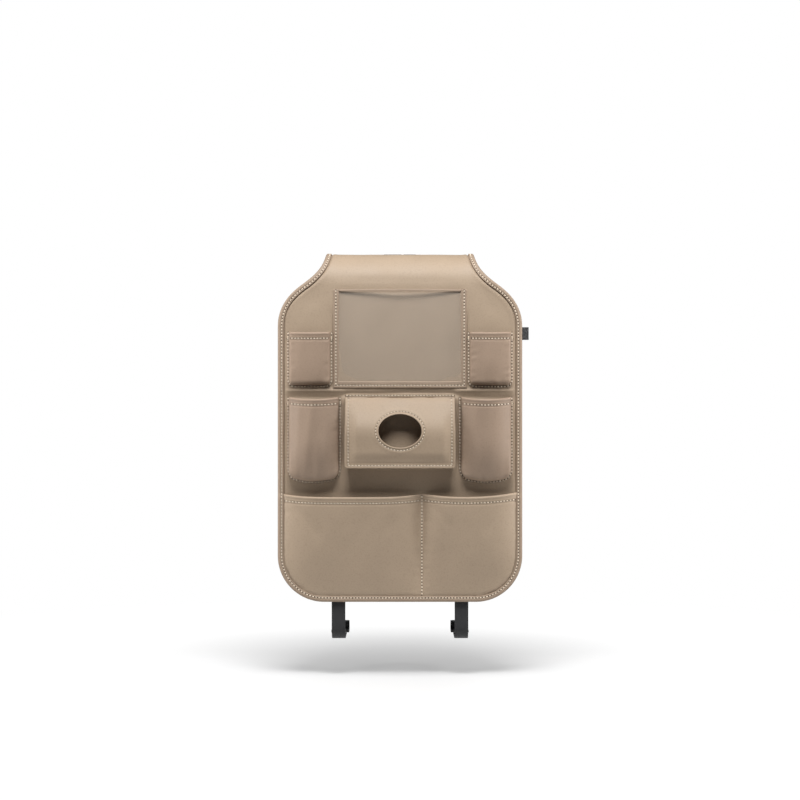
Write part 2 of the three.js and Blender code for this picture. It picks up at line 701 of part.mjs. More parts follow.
// A headrest strap: flat under the flap, a quarter turn, then on edge round the headrest's posts to its
// bar.
const BUCKLE_Y = FLAP_END_Y + TOP_STRAP_TWIST + TOP_STRAP_BEND;
const BUCKLE_Z = FLAP_Z - BINDING_BACK - HALF_STRAP;

function topStrap() {
  const halfWidth = TOP_STRAP_WIDTH / 2;
  const sections = [];
  const add = (x, y, z, across, through) =>
    sections.push(
      strapSection(
        new THREE.Vector3(x, y, z),
        new THREE.Vector3(...across).multiplyScalar(halfWidth),
        new THREE.Vector3(...through).multiplyScalar(HALF_STRAP),
      ),
    );
  const inner = FLAP_END_Y - BINDING_WIDTH;
  const onLining = FLAP_Z - HALF_STRAP;
  add(-TOP_STRAP_X, inner - TOP_STRAP_SEWN, onLining, [1, 0, 0], [0, 0, 1]);
  add(-TOP_STRAP_X, inner - RAMP_FROM, onLining, [1, 0, 0], [0, 0, 1]);
  add(-TOP_STRAP_X, inner - RAMP_TO, BUCKLE_Z, [1, 0, 0], [0, 0, 1]);
  for (const share of steps(0, 1, 6)) {
    const [cos, sin] = [Math.cos((share * Math.PI) / 2), Math.sin((share * Math.PI) / 2)];
    const y = FLAP_END_Y + TOP_STRAP_CLEAR + (TOP_STRAP_TWIST - TOP_STRAP_CLEAR) * share;
    add(-TOP_STRAP_X, y, BUCKLE_Z, [cos, 0, -sin], [sin, 0, cos]);
  }
  const far = BUCKLE_Y;
  const edge = (x, y, angle) =>
    add(x, y, BUCKLE_Z, [0, 0, -1], [Math.cos(angle), -Math.sin(angle), 0]);
  for (const angle of steps(0, Math.PI / 2, 6).slice(1))
    edge(
      -TOP_STRAP_X + TOP_STRAP_BEND * (1 - Math.cos(angle)),
      far - TOP_STRAP_BEND * (1 - Math.sin(angle)),
      angle,
    );
  for (const angle of steps(Math.PI / 2, (3 * Math.PI) / 2, 6))
    edge(
      -BUCKLE_BAR_X - TURN * Math.cos(angle),
      far - TURN + TURN * Math.sin(angle),
      angle,
    );
  edge(-BUCKLE_BAR_X - TAIL, far - STRAP_THICKNESS - SEAM_GAP, (3 * Math.PI) / 2);
  return loft(sections);
}

// Extrudes a shape drawn in X and Z along Y, centred on Y = 0.
function extrudeThrough(shape, thickness) {
  return new THREE.ExtrudeGeometry(shape, { depth: thickness, bevelEnabled: false, curveSegments: 5 })
    .translate(0, 0, -thickness / 2)
    .rotateX(Math.PI / 2);
}

function roundedRectangle(x0, x1, half, radius) {
  const shape = new THREE.Shape();
  shape.moveTo(x0 + radius, -half);
  shape.lineTo(x1 - radius, -half);
  shape.absarc(x1 - radius, radius - half, radius, -Math.PI / 2, 0, false);
  shape.absarc(x1 - radius, half - radius, radius, 0, Math.PI / 2, false);
  shape.absarc(x0 + radius, half - radius, radius, Math.PI / 2, Math.PI, false);
  shape.absarc(x0 + radius, radius - half, radius, Math.PI, (3 * Math.PI) / 2, false);
  return shape;
}

// The open end of a buckle half: rails on both sides with a round bar between them.
function withBar(body, sign) {
  const opening = TOP_STRAP_WIDTH / 2 + FITTING_CLEARANCE;
  const inner = BUCKLE_BAR_X - TURN - HALF_STRAP - FITTING_CLEARANCE;
  const outer = BUCKLE_BAR_X + 2 * BAR;
  const xs = sign > 0 ? [inner, outer] : [-outer, -inner];
  const slot = box(xs, [-BUCKLE_THICKNESS, BUCKLE_THICKNESS], [-opening, opening]);
  const bar = new THREE.CylinderGeometry(BAR / 2, BAR / 2, 2 * opening + RAIL, 12)
    .rotateX(Math.PI / 2)
    .translate(sign * BUCKLE_BAR_X, 0, 0);
  return body.subtract(toManifold(slot)).add(toManifold(bar));
}

const BUCKLE_HALF = TOP_STRAP_WIDTH / 2 + FITTING_CLEARANCE + RAIL;

// The socket: a flat sleeve with a window on each side, through which the prongs snap.
function buckleSocket() {
  const end = BUCKLE_BAR_X + BAR / 2;
  const shell = toManifold(
    extrudeThrough(roundedRectangle(-end, BUCKLE_SPLIT, BUCKLE_HALF, BUCKLE_CORNER), BUCKLE_THICKNESS),
  );
  const deep = BUCKLE_THICKNESS / 2 - BUCKLE_WALL;
  const wide = BUCKLE_HALF - BUCKLE_WALL;
  const mouth = box([BUCKLE_SPLIT - SOCKET_DEPTH, BUCKLE_SPLIT + 1], [-deep, deep], [-wide, wide]);
  const from = BUCKLE_SPLIT - WINDOW_FROM;
  const windows = box([from - WINDOW_LENGTH, from], [-deep, deep], [-2 * BUCKLE_HALF, 2 * BUCKLE_HALF]);
  return fromManifold(withBar(shell.subtract(toManifold(mouth)).subtract(toManifold(windows)), -1));
}

// The plug: a shoulder with two springing prongs, barbed at their ends, and a guide between them.
function bucklePlug() {
  const end = BUCKLE_BAR_X + BAR / 2;
  const start = BUCKLE_SPLIT + SEAM_GAP;
  const shoulder = toManifold(
    extrudeThrough(roundedRectangle(start, end, BUCKLE_HALF, BUCKLE_CORNER), BUCKLE_THICKNESS),
  );
  const thickness = BUCKLE_THICKNESS - 2 * BUCKLE_WALL - 2 * PRONG_PLAY;
  const wide = BUCKLE_HALF - BUCKLE_WALL - PRONG_PLAY;
  const barb = BUCKLE_SPLIT - WINDOW_FROM - PRONG_PLAY;
  const tip = barb - WINDOW_LENGTH + 2 * PRONG_PLAY;
  const inside = start + PRONG_ROOT;
  const prong = (side) => {
    const shape = new THREE.Shape();
    const points = [
      [inside, wide - PRONG_WIDTH],
      [inside, wide],
      [barb, wide],
      [barb, wide + BUCKLE_WALL],
      [barb - BARB_RUN, wide + BUCKLE_WALL - BARB_TAPER],
      [tip, wide - TIP_TAPER],
      [tip, wide - PRONG_WIDTH],
    ];
    points.forEach(([x, z], i) => (i ? shape.lineTo(x, side * z) : shape.moveTo(x, side * z)));
    return toManifold(extrudeThrough(shape, thickness));
  };
  const guide = toManifold(
    box([tip + GUIDE_SETBACK, inside], [-thickness / 2, thickness / 2], [-BAR / 2, BAR / 2]),
  );
  return fromManifold(withBar(shoulder.add(prong(1)).add(prong(-1)).add(guide), 1));
}

const finish = (color, roughness) =>
  new THREE.MeshStandardMaterial({ color, roughness, metalness: 0 });
const leatherette = finish(0xa8917c, 0.5);
const leatheretteTrim = finish(0xb29c86, 0.5);
const liningFabric = finish(0x2b2a2a, 0.95);
const clearVinyl = new THREE.MeshStandardMaterial({
  color: 0xdfe3e6,
  roughness: 0.12,
  transparent: true,
  opacity: 0.3,
});
const blackRibbon = finish(0x17171a, 0.7);
const blackWebbing = finish(0x1a1a1c, 0.85);
const blackPlastic = finish(0x141416, 0.45);

const organizer = new THREE.Group();
const add = (name, geometry, material, at = [0, 0, 0]) => {
  const mesh = new THREE.Mesh(geometry, material);
  mesh.name = name;
  mesh.position.set(...at);
  organizer.add(mesh);
};

add("back_panel", backPanel(), leatherette);
add("back_lining", backLining(), liningFabric);
add("edge_binding", edgeBinding(), leatheretteTrim);
add("bottom_pocket_front", bottomPocket(), leatherette);
const phone = sidePocket(-1);
add("phone_pocket_front", phone.front, leatherette);
add("phone_pocket_gusset", phone.gusset, leatheretteTrim);
const small = sidePocket(1);
add("small_pocket_front", small.front, leatherette);
add("small_pocket_gusset", small.gusset, leatheretteTrim);
const tablet = tabletPocket();
add("tablet_pocket_window", tablet.window, clearVinyl);
add("tablet_pocket_frame", tablet.frame, leatheretteTrim);
for (const [side, name] of [[-1, "left"], [1, "right"]]) {
  const bottle = bottlePocket(side);
  add("bottle_pocket_front_" + name, bottle.front, leatherette);
  add("bottle_pocket_gusset_" + name, bottle.gusset, leatheretteTrim);
}
const wipes = wipesPocket();
add("wipes_pocket_lid", wipes.lid, leatherette);
add("wipes_pocket_gusset", wipes.gusset, leatheretteTrim);
add("wipes_hook_tape", wipes.hookTape, blackRibbon);
add("wipes_loop_tape", wipes.loopTape, blackRibbon);
add("label_tab", labelTab(), blackRibbon);
const hookBar = [
  BINDING_BACK + HALF_STRAP + LOWER_STRAP_BEND + LOWER_STRAP_RUN,
  TURN - LOWER_STRAP_DROP - LOWER_STRAP_BEND,
];
for (const [side, name] of [[-1, "left"], [1, "right"]]) {
  add("lower_strap_" + name, lowerStrap(), blackWebbing, [side * LOWER_STRAP_X, 0, 0]);
  add("lower_hook_" + name, lowerHook(), blackPlastic, [side * LOWER_STRAP_X, ...hookBar]);
}
add("headrest_strap_left", topStrap(), blackWebbing);
add("headrest_strap_right", mirrored(topStrap()), blackWebbing);
const buckleAt = [0, BUCKLE_Y - TURN, BUCKLE_Z];
add("buckle_socket", buckleSocket(), blackPlastic, buckleAt);
add("buckle_plug", bucklePlug(), blackPlastic, buckleAt);

// The origin lies on the back of the lining, half way up the part that rests on the seat's back.
organizer.position.z = -BEND_START / 2;

export default organizer;
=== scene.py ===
# A backseat organizer: a padded leatherette panel with sewn pockets, two elastic straps with hooks below it
# and a buckled webbing strap above it, dressed here in leatherette, vinyl, felt, webbing and thread. Sizes
# are in millimetres on the flat panel and become metres where a mesh is made.
import math

import bpy
import numpy as np
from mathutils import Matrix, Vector
from mathutils.kdtree import KDTree


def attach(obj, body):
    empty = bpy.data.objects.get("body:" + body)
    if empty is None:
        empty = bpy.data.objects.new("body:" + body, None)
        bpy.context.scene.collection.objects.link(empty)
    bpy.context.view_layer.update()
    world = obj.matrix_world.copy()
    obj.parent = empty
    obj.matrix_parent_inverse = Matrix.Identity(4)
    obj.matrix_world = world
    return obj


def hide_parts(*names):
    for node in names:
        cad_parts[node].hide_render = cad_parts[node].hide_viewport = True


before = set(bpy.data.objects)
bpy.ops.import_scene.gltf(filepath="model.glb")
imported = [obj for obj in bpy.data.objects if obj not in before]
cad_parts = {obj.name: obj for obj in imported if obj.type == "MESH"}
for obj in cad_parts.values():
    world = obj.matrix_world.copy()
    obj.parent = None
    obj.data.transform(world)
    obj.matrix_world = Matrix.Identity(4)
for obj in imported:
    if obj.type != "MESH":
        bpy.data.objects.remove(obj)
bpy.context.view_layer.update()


# Padded panel: foam-backed PU leatherette in one piece, die-cut, laid on a thin lining. It hangs flat, bends
# back at its neck and ends in a flap. Its face is pebbled and satin, uneven from the padding, and gives way
# in a crease between the two rows of pockets and in narrow valleys beside the seams of the middle pockets.
PANEL_HALF = 239
NECK_HALF = 146
BOTTOM_CORNER = 90
FLAP_CORNER = 28
BEND_START = 620
BEND_RADIUS = 62
BEND_END = BEND_START + BEND_RADIUS * math.pi / 2
FLAP_LENGTH = 72
SHEET_END = BEND_END + FLAP_LENGTH
SHOULDER_START = 540
NECK_START = 710
# points of the right edge that lie on its flat foot and on the flap's flat end
FOOT_POINTS = 150
FLAP_POINTS = 120
PANEL_BACK = 0.8
PANEL_FRONT = 3.8
BINDING = 10
CREASE_AT = 400
CREASE_DEPTH = 2.4
LID_SIDE = 112
VALLEY_AT = 112.3
VALLEY_DEPTH = 2.1
VALLEY_RUN = (265, 397)
TABLET_SEAM_AT = 132.3
TABLET_SEAM_DEPTH = 1.3
TABLET_SEAM_RUN = (418, 574)
LEATHER = "#aa9680"
# the deep tone of the grain's valleys, also laid on as painted shade in the leatherette's creases
LEATHER_DEEP = "#6f5b4d"


def on_panel(u, v, w):
    """Metres in the part's frame from the flat panel: u across, v up along it, w out from its back."""
    u, v, w = np.broadcast_arrays(*(np.asarray(a, float) for a in (u, v, w)))
    turn = np.clip((v - BEND_START) / BEND_RADIUS, 0, math.pi / 2)
    radius = BEND_RADIUS + w
    y = BEND_RADIUS - radius * np.cos(turn) + np.maximum(0, v - BEND_END)
    z = np.where(v <= BEND_START, v, BEND_START + radius * np.sin(turn)) - BEND_START / 2
    return np.stack([u, y, z], axis=-1) / 1000


def unit(vectors):
    """Rows of vectors, each made 1 long."""
    return vectors / np.linalg.norm(vectors, axis=1)[:, None]


def directions(line):
    """The unit direction of a line of points at each of them."""
    return unit(np.gradient(line, axis=0))


def lengths(line):
    """How far along a line of points each of them is."""
    return np.r_[0, np.cumsum(np.linalg.norm(np.diff(line, axis=0), axis=1))]


def right_edge():
    """The panel's right edge from the middle of its foot to the middle of the flap, a point each mm."""

    def arc(cx, cy, radius, start, end):
        angle = np.linspace(start, end, 90)
        return np.c_[cx + radius * np.cos(angle), cy + radius * np.sin(angle)]

    def bezier(a, b, c, d):
        t = np.linspace(0, 1, 90)[:, None]
        points = (np.array(p, float) for p in (a, b, c, d))
        weights = ((1 - t) ** 3, 3 * t * (1 - t) ** 2, 3 * t**2 * (1 - t), t**3)
        return sum(weight * p for weight, p in zip(weights, points))

    turning_point = (NECK_HALF + 45, BEND_START + 2)
    shoulder = ((PANEL_HALF, 580), (215.5, 604.7))
    neck = ((158.3, 645.1), (NECK_HALF, 660.5))
    line = np.vstack(
        [
            [(0, 0)],
            arc(PANEL_HALF - BOTTOM_CORNER, BOTTOM_CORNER, BOTTOM_CORNER, -math.pi / 2, 0),
            bezier((PANEL_HALF, SHOULDER_START), *shoulder, turning_point),
            bezier(turning_point, *neck, (NECK_HALF, NECK_START)),
            arc(NECK_HALF - FLAP_CORNER, SHEET_END - FLAP_CORNER, FLAP_CORNER, 0, math.pi / 2),
            [(0, SHEET_END)],
        ]
    )
    along = lengths(line)
    keep = np.r_[True, np.diff(along) > 1e-6]
    even = np.linspace(0, along[-1], round(along[-1]))
    return np.c_[[np.interp(even, along[keep], line[keep, k]) for k in range(2)]].T


EDGE = right_edge()
INWARD = directions(EDGE)[:, ::-1] * (-1, 1)


def outline(inset, step):
    """The closed outline, set in by a distance, a point each step mm, and the inward direction at each."""
    full = np.vstack([EDGE, (EDGE * (-1, 1))[-2:0:-1]])
    normals = np.vstack([INWARD, (INWARD * (-1, 1))[-2:0:-1]])
    pick = np.linspace(0, len(full), round(len(full) / step), endpoint=False).astype(int)
    return full[pick] + normals[pick] * inset, normals[pick]


def half_at(v, inset=0.0):
    """Half the panel's width at a height, set in by a distance."""
    line = (EDGE + INWARD * inset)[FOOT_POINTS:-FLAP_POINTS]
    order = np.argsort(line[:, 1], kind="stable")
    return np.interp(v, line[order, 1], line[order, 0])


def from_edge(u, v):
    """How far points lie in from the panel's edge."""
    line = outline(0, 2.0)[0]
    tree = KDTree(len(line))
    for i, (x, y) in enumerate(line):
        tree.insert((x, y, 0), i)
    tree.balance()
    found = [tree.find((x, y, 0))[2] for x, y in zip(np.ravel(u), np.ravel(v))]
    return np.reshape(found, np.shape(u))


def cloud(u, v, size, seed, stretch=1.0, angle=0.0):
    """Soft random relief from about -1 to 1, whose bumps are size mm wide and stretch times as long."""
    draw = np.random.default_rng(seed)
    a = (u * math.cos(angle) + v * math.sin(angle)) / stretch
    b = v * math.cos(angle) - u * math.sin(angle)
    total = np.zeros(np.broadcast(u, v).shape)
    for _ in range(9):
        way, phase = draw.uniform(0, 2 * math.pi, 2)
        pace = draw.uniform(0.7, 1.5) * math.pi / size
        total += np.sin(pace * (a * math.cos(way) + b * math.sin(way)) + phase)
    return total / 3


def near(distance, width):
    """1 at a line, falling to nothing over about width mm on both sides."""
    return np.exp(-((distance / width) ** 2))


def falling(distance, width):
    """1 before a line and 0 beyond it, changing over about width mm."""
    return 1 / (1 + np.exp(np.clip(distance / width, -30, 30)))


def between(v, low, high):
    """1 between two heights and 0 beyond them, with soft ends."""
    return falling(np.abs(v - (low + high) / 2) - (high - low) / 2, 4)


def crease(u, v, start, end, width, depth):
    """A soft fold from one point of the sheet to another that fades at both ends."""
    (a, b), (c, d) = start, end
    length = math.hypot(c - a, d - b)
    share = ((u - a) * (c - a) + (v - b) * (d - b)) / length**2
    off = ((u - a) * (d - b) - (v - b) * (c - a)) / length
    return -depth * near(off, width) * near(np.maximum(0, np.abs(share - 0.5) - 0.25), 0.2)


def made(name, points, faces, sharp=50, uv=None):
    """A mesh object facing out, smooth but for edges sharper than the angle. uv is per point."""
    faces = faces.tolist() if isinstance(faces, np.ndarray) else [list(map(int, f)) for f in faces]
    points = np.asarray(points, float)
    fans = np.array([(f[0], f[k], f[k + 1]) for f in faces for k in range(1, len(f) - 1)])
    a, b, c = (points[fans[:, k]] for k in range(3))
    if np.einsum("ij,ij->", a, np.cross(b, c)) < 0:
        faces = [f[::-1] for f in faces]
    mesh = bpy.data.meshes.new(name)
    mesh.from_pydata(points.tolist(), [], faces)
    mesh.shade_smooth()
    mesh.set_sharp_from_angle(angle=math.radians(sharp))
    if uv is not None:
        layer = mesh.uv_layers.new(name="across_and_along")
        corners = np.empty(len(mesh.loops), np.int32)
        mesh.loops.foreach_get("vertex_index", corners)
        layer.data.foreach_set("uv", np.asarray(uv, np.float32)[corners].ravel())
    piece = bpy.data.objects.new(name, mesh)
    bpy.context.scene.collection.objects.link(piece)
    return piece


def quads(index):
    """The four corners of each cell in a grid of point numbers."""
    return np.stack([index[:-1, :-1], index[:-1, 1:], index[1:, 1:], index[1:, :-1]], axis=-1)


def shell(name, front, back, around=False, keep=None, sharp=50):
    """The closed body between two grids of points. around joins the last column to the first one."""
    rows, columns = front.shape[:2]
    index = np.arange(rows * columns).reshape(rows, columns)
    if around:
        index = np.hstack([index, index[:, :1]])
    cells = quads(index).reshape(-1, 4) if keep is None else quads(index)[keep]
    count = rows * columns
    edges = np.concatenate([cells[:, [k, (k + 1) % 4]] for k in range(4)])
    forward, backward = edges @ (count, 1), edges @ (1, count)
    a, b = edges[~np.isin(forward, backward)].T
    faces = np.vstack([cells, cells[:, ::-1] + count, np.c_[b, a, a + count, b + count]])
    used, faces = np.unique(faces, return_inverse=True)
    points = np.vstack([front.reshape(-1, 3), back.reshape(-1, 3)])[used]
    return made(name, points, faces.reshape(-1, 4), sharp)


def linear(hex_colour):
    """A linear colour from an sRGB hex value."""
    parts = [int(hex_colour[k : k + 2], 16) / 255 for k in (1, 3, 5)]
    return [c / 12.92 if c <= 0.04045 else ((c + 0.055) / 1.055) ** 2.4 for c in parts] + [1.0]


def node(tree, kind, inputs=None, **settings):
    """Adds a node. A value in inputs is set on that socket, and an output socket is linked to it."""
    made_node = tree.nodes.new(kind)
    for key, value in settings.items():
        setattr(made_node, key, value)
    for key, value in (inputs or {}).items():
        if isinstance(value, bpy.types.NodeSocket):
            tree.links.new(value, made_node.inputs[key])
        else:
            made_node.inputs[key].default_value = value
    return made_node


def new_material(name):
    """An empty node material: its tree, its shader and its object coordinates."""
    material = bpy.data.materials.new(name)
    material.use_nodes = True
    tree = material.node_tree
    shader = tree.nodes["Principled BSDF"]
    place = node(tree, "ShaderNodeTexCoord").outputs["Object"]
    return material, tree, shader, place


def leatherette(name, colour, deep):
    """PU leatherette: a satin skin embossed with soft pebbles, which break its sheen up, and darkened as
    painted shade in its creases and grooves.

    Real pebbles are about 1.2 mm wide, and are drawn 2.4 mm wide so that the render shows them.
    """
    material, tree, shader, place = new_material(name)
    pebbles = node(
        tree,
        "ShaderNodeTexVoronoi",
        {"Vector": place, "Scale": 1000 / 2.4, "Randomness": 0.9},
        feature="SMOOTH_F1",
    )
    mottle = node(tree, "ShaderNodeTexNoise", {"Vector": place, "Scale": 1000 / 60, "Detail": 4.0})
    valleys = node(
        tree,
        "ShaderNodeMapRange",
        {
            "Value": pebbles.outputs["Distance"],
            "From Min": 0.4,
            "From Max": 0.9,
            "To Min": 0.0,
            "To Max": 0.22,
        },
    )
    # painted shade: concave places, such as creases and the grooves beside seams, are darkened towards the
    # deep tone
    crevice_pointiness = node(tree, "ShaderNodeNewGeometry").outputs["Pointiness"]
    edges = node(
        tree,
        "ShaderNodeMapRange",
        {"Value": crevice_pointiness, "From Min": 0.42, "From Max": 0.495, "To Min": 0.75, "To Max": 0.0},
    )
    # the darker of the grain's valleys and the painted shade in creases
    depth = node(tree, "ShaderNodeMath", {0: valleys.outputs[0], 1: edges.outputs[0]}, operation="MAXIMUM")
    tone = node(
        tree,
        "ShaderNodeMix",
        {"Factor": depth.outputs[0], "A": linear(colour), "B": linear(deep)},
        data_type="RGBA",
    )
    soft = node(
        tree,
        "ShaderNodeMapRange",
        {"Value": mottle.outputs["Fac"], "From Min": 0.3, "From Max": 0.7, "To Min": 0.97, "To Max": 1.03},
    )
    tint = node(
        tree, "ShaderNodeVectorMath", {0: tone.outputs["Result"], "Scale": soft.outputs[0]}, operation="SCALE"
    )
    gloss = node(
        tree,
        "ShaderNodeMapRange",
        {"Value": mottle.outputs["Fac"], "From Min": 0.3, "From Max": 0.7, "To Min": 0.56, "To Max": 0.66},
    )
    grain = node(
        tree,
        "ShaderNodeBump",
        {"Height": pebbles.outputs["Distance"], "Distance": 0.00012, "Strength": 0.5},
        invert=True,
    )
    tree.links.new(tint.outputs["Vector"], shader.inputs["Base Color"])
    tree.links.new(gloss.outputs[0], shader.inputs["Roughness"])
    tree.links.new(grain.outputs[0], shader.inputs["Normal"])
    shader.inputs["IOR"].default_value = 1.5
    return material


beige_leatherette = leatherette("beige_pebbled_leatherette", LEATHER, LEATHER_DEEP)


def fitted(piece, material, slot, *nodes):
    """Gives a piece its material and its body, and hides the CAD nodes that it stands for."""
    piece.data.materials.append(material)
    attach(piece, "root")
    if nodes:
        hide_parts(*nodes)
    return piece


def panel_relief(u, v, inset):
    """Height of the panel's face over its flat front."""
    # the padding's unevenness, and the binding's pull, which puffs the padding up beside it
    inside = np.clip((inset - BINDING) / 14, 0, 1)
    height = 0.3 * cloud(u, v, 70, 3) * inside + 0.08 * cloud(u, v, 22, 4) * inside
    height -= 1.9 * near(inset - BINDING - 0.6, 1.5)
    height += 0.6 * near(inset - BINDING - 6, 4)
    # the crease wanders a little, runs higher and narrower behind the lid, and has a lip beside it
    drift = 0.8 * np.sin(u / 47.0) + 0.5 * np.sin(u / 19.0 + 1)
    outer = falling(LID_SIDE - np.abs(u), 4)
    behind_lid = 1 - outer
    height -= CREASE_DEPTH * near(v - CREASE_AT - drift - 9 * behind_lid, 7 - 2 * behind_lid) * inside
    height += 1.3 * near(v - CREASE_AT - 14, 3.4) * outer * inside
    # the valleys beside the lid and the tablet pocket's seam
    beside_lid = between(v, *VALLEY_RUN) * (1 - near(v - CREASE_AT, 14))
    height -= VALLEY_DEPTH * near(np.abs(u) - VALLEY_AT, 2.4) * beside_lid
    beside_tablet = between(v, *TABLET_SEAM_RUN)
    height -= TABLET_SEAM_DEPTH * near(np.abs(u) - TABLET_SEAM_AT, 1.4) * beside_tablet
    # soft folds across the neck and over both shoulders
    height += crease(u, v, (-120, BEND_START + 12), (130, BEND_START + 8), 9, 0.8)
    height += crease(u, v, (-190, 575), (-120, 640), 14, 0.6)
    height += crease(u, v, (190, 572), (122, 642), 14, 0.6)
    return height


def panel_face(u, v):
    """Height of the panel's face over the lining's back."""
    return PANEL_FRONT + panel_relief(u, v, from_edge(u, v))


def panel_grid(step=4.0, rim_step=1.2):
    """Rows from the foot to the flap's end, each from edge to edge, closer by the binding and the creases."""
    rim_width = 19
    rim = np.arange(0, rim_width, rim_step)
    zones = [rim, np.arange(CREASE_AT - 12, CREASE_AT + 24, rim_step), SHEET_END - rim]
    heights = np.unique(np.round(np.r_[EDGE[:: round(step), 1], np.concatenate(zones)], 2))
    heights = heights[np.r_[True, np.diff(heights) > 0.25]]
    middle = np.linspace(rim_width - PANEL_HALF, PANEL_HALF - rim_width, round(2 * PANEL_HALF / step))
    close = np.r_[VALLEY_AT + np.arange(-6, 6.5, 1.5), TABLET_SEAM_AT + np.arange(-2, 3.1, 1.0)]
    middle = np.unique(np.round(np.r_[middle, close, -close], 2))
    middle = middle[np.r_[True, np.diff(middle) > 0.7]]
    share = np.r_[rim - PANEL_HALF, middle, PANEL_HALF - rim[::-1]] / PANEL_HALF
    return share * half_at(heights)[:, None], np.repeat(heights[:, None], len(share), axis=1)


u, v = panel_grid()
panel = shell("padded_panel", on_panel(u, v, panel_face(u, v)), on_panel(u, v, PANEL_BACK))
fitted(panel, beige_leatherette, "leatherette", "back_panel")


# Lining: thin black needle-felt, glued and sewn behind the padding so that the panel doesn't slide. Felt is
# matt and slightly hairy, and it lies flat, with shallow unevenness.
def needle_felt():
    """Needle-punched felt: matt, with a nap drawn in tufts of 1.6 mm, as its fibres are too fine to show."""
    material, tree, shader, place = new_material("black_needle_felt")
    fibres = node(
        tree,
        "ShaderNodeTexNoise",
        {"Vector": place, "Scale": 1000 / 1.6, "Detail": 6.0, "Distortion": 1.2},
    )
    shade = node(
        tree,
        "ShaderNodeMix",
        {"Factor": fibres.outputs["Fac"], "A": linear("#211f1f"), "B": linear("#4a4746")},
        data_type="RGBA",
    )
    nap = node(tree, "ShaderNodeBump", {"Height": fibres.outputs["Fac"], "Distance": 0.0004, "Strength": 0.8})
    tree.links.new(shade.outputs["Result"], shader.inputs["Base Color"])
    tree.links.new(nap.outputs[0], shader.inputs["Normal"])
    shader.inputs["Roughness"].default_value = 0.95
    shader.inputs["Sheen Weight"].default_value = 0.3
    shader.inputs["Sheen Roughness"].default_value = 0.6
    return material


felt = needle_felt()
u, v = panel_grid(6.0, 4.0)
unevenness = np.clip(0.14 + 0.14 * cloud(u, v, 55, 8), 0, 0.4)
lining = shell("felt_lining", on_panel(u, v, PANEL_BACK), on_panel(u, v, unevenness))
fitted(lining, felt, "lining", "back_lining")


# Edge binding: a strip of the same leatherette, folded round the raw edge and sewn through all layers with
# one row of stitches, which pull it in a little at each stitch. The thread is thick, light beige polyester.
BINDING_REACH = 1.2
BINDING_STITCH = 6.6
BINDING_STEP = 1.75
BOTTOM_POCKET_HEIGHT = 208
POCKET_SHEET = 1.5
# The photograph's stitches are 4.4 mm apart in fine thread, too small for the render, so both are coarser.
STITCH_PITCH = 6.2
STITCH_LENGTH = 4.1
THREAD = 2.1
# size in mm of the dark lens of painted shade at each needle hole
HOLE_SHADE_SIZE = (1.2, 0.95, 1.2)
TRIM_LEATHER = "#9f8b78"

trim_leatherette = leatherette("beige_trim_leatherette", TRIM_LEATHER, LEATHER_DEEP)


def stitch_form():
    """One stitch: a short thread 1 long, with radius 1, that dips into its holes at both ends."""
    along = np.array([-0.5, -0.44, -0.3, 0.0, 0.3, 0.44, 0.5])
    size = np.array([0.25, 0.75, 0.95, 1.0, 0.95, 0.75, 0.25])
    lift = 0.4 - 4.2 * along**2
    angle = np.arange(6) * math.pi / 3
    rings = [
        np.c_[np.full(6, x), size[i] * np.cos(angle), size[i] * np.sin(angle) + lift[i]]
        for i, x in enumerate(along)
    ]
    index = np.arange(42).reshape(7, 6)
    index = np.hstack([index, index[:, :1]])
    sides = quads(index).reshape(-1, 4)
    return np.vstack(rings), [*sides, tuple(range(5, -1, -1)), tuple(range(36, 42))]


def needle_hole_form():
    """A dark lens of painted shade at a needle hole: radius 1, with a point above and below."""
    angle = np.arange(6) * math.pi / 3
    ring = np.c_[np.cos(angle), np.sin(angle), np.full(6, 0.3)]
    caps = [(k, (k + 1) % 6, 6) for k in range(6)] + [((k + 1) % 6, k, 7) for k in range(6)]
    return np.vstack([ring, [(0, 0, 0.5), (0, 0, -0.6)]]), caps


def polyester_thread():
    """Spun polyester: a twisted thread with a slight sheen. The twist is drawn coarser so that it shows."""
    material, tree, shader, place = new_material("light_beige_polyester_thread")
    lit = linear("#f8e8d0")
    strands = node(
        tree,
        "ShaderNodeTexWave",
        {"Vector": place, "Scale": 1000 / 2.4, "Distortion": 2.0},
        bands_direction="DIAGONAL",
    )
    twist = node(
        tree, "ShaderNodeBump", {"Height": strands.outputs["Fac"], "Distance": 0.0001, "Strength": 0.5}
    )
    shade = node(
        tree,
        "ShaderNodeMix",
        {"Factor": strands.outputs["Fac"], "A": [c * 0.8 for c in lit], "B": lit},
        data_type="RGBA",
    )
    tree.links.new(shade.outputs["Result"], shader.inputs["Base Color"])
    tree.links.new(twist.outputs[0], shader.inputs["Normal"])
    shader.inputs["Roughness"].default_value = 0.55
    shader.inputs["Sheen Weight"].default_value = 0.25
    return material


thread = polyester_thread()
# painted shade at a needle hole: a dark leatherette colour on the lenses set between the stitches
needle_hole_shade, _, hole_shade_shader, _ = new_material("shaded_needle_hole")
hole_shade_shader.inputs["Base Color"].default_value = linear("#382c22")
hole_shade_shader.inputs["Roughness"].default_value = 0.9


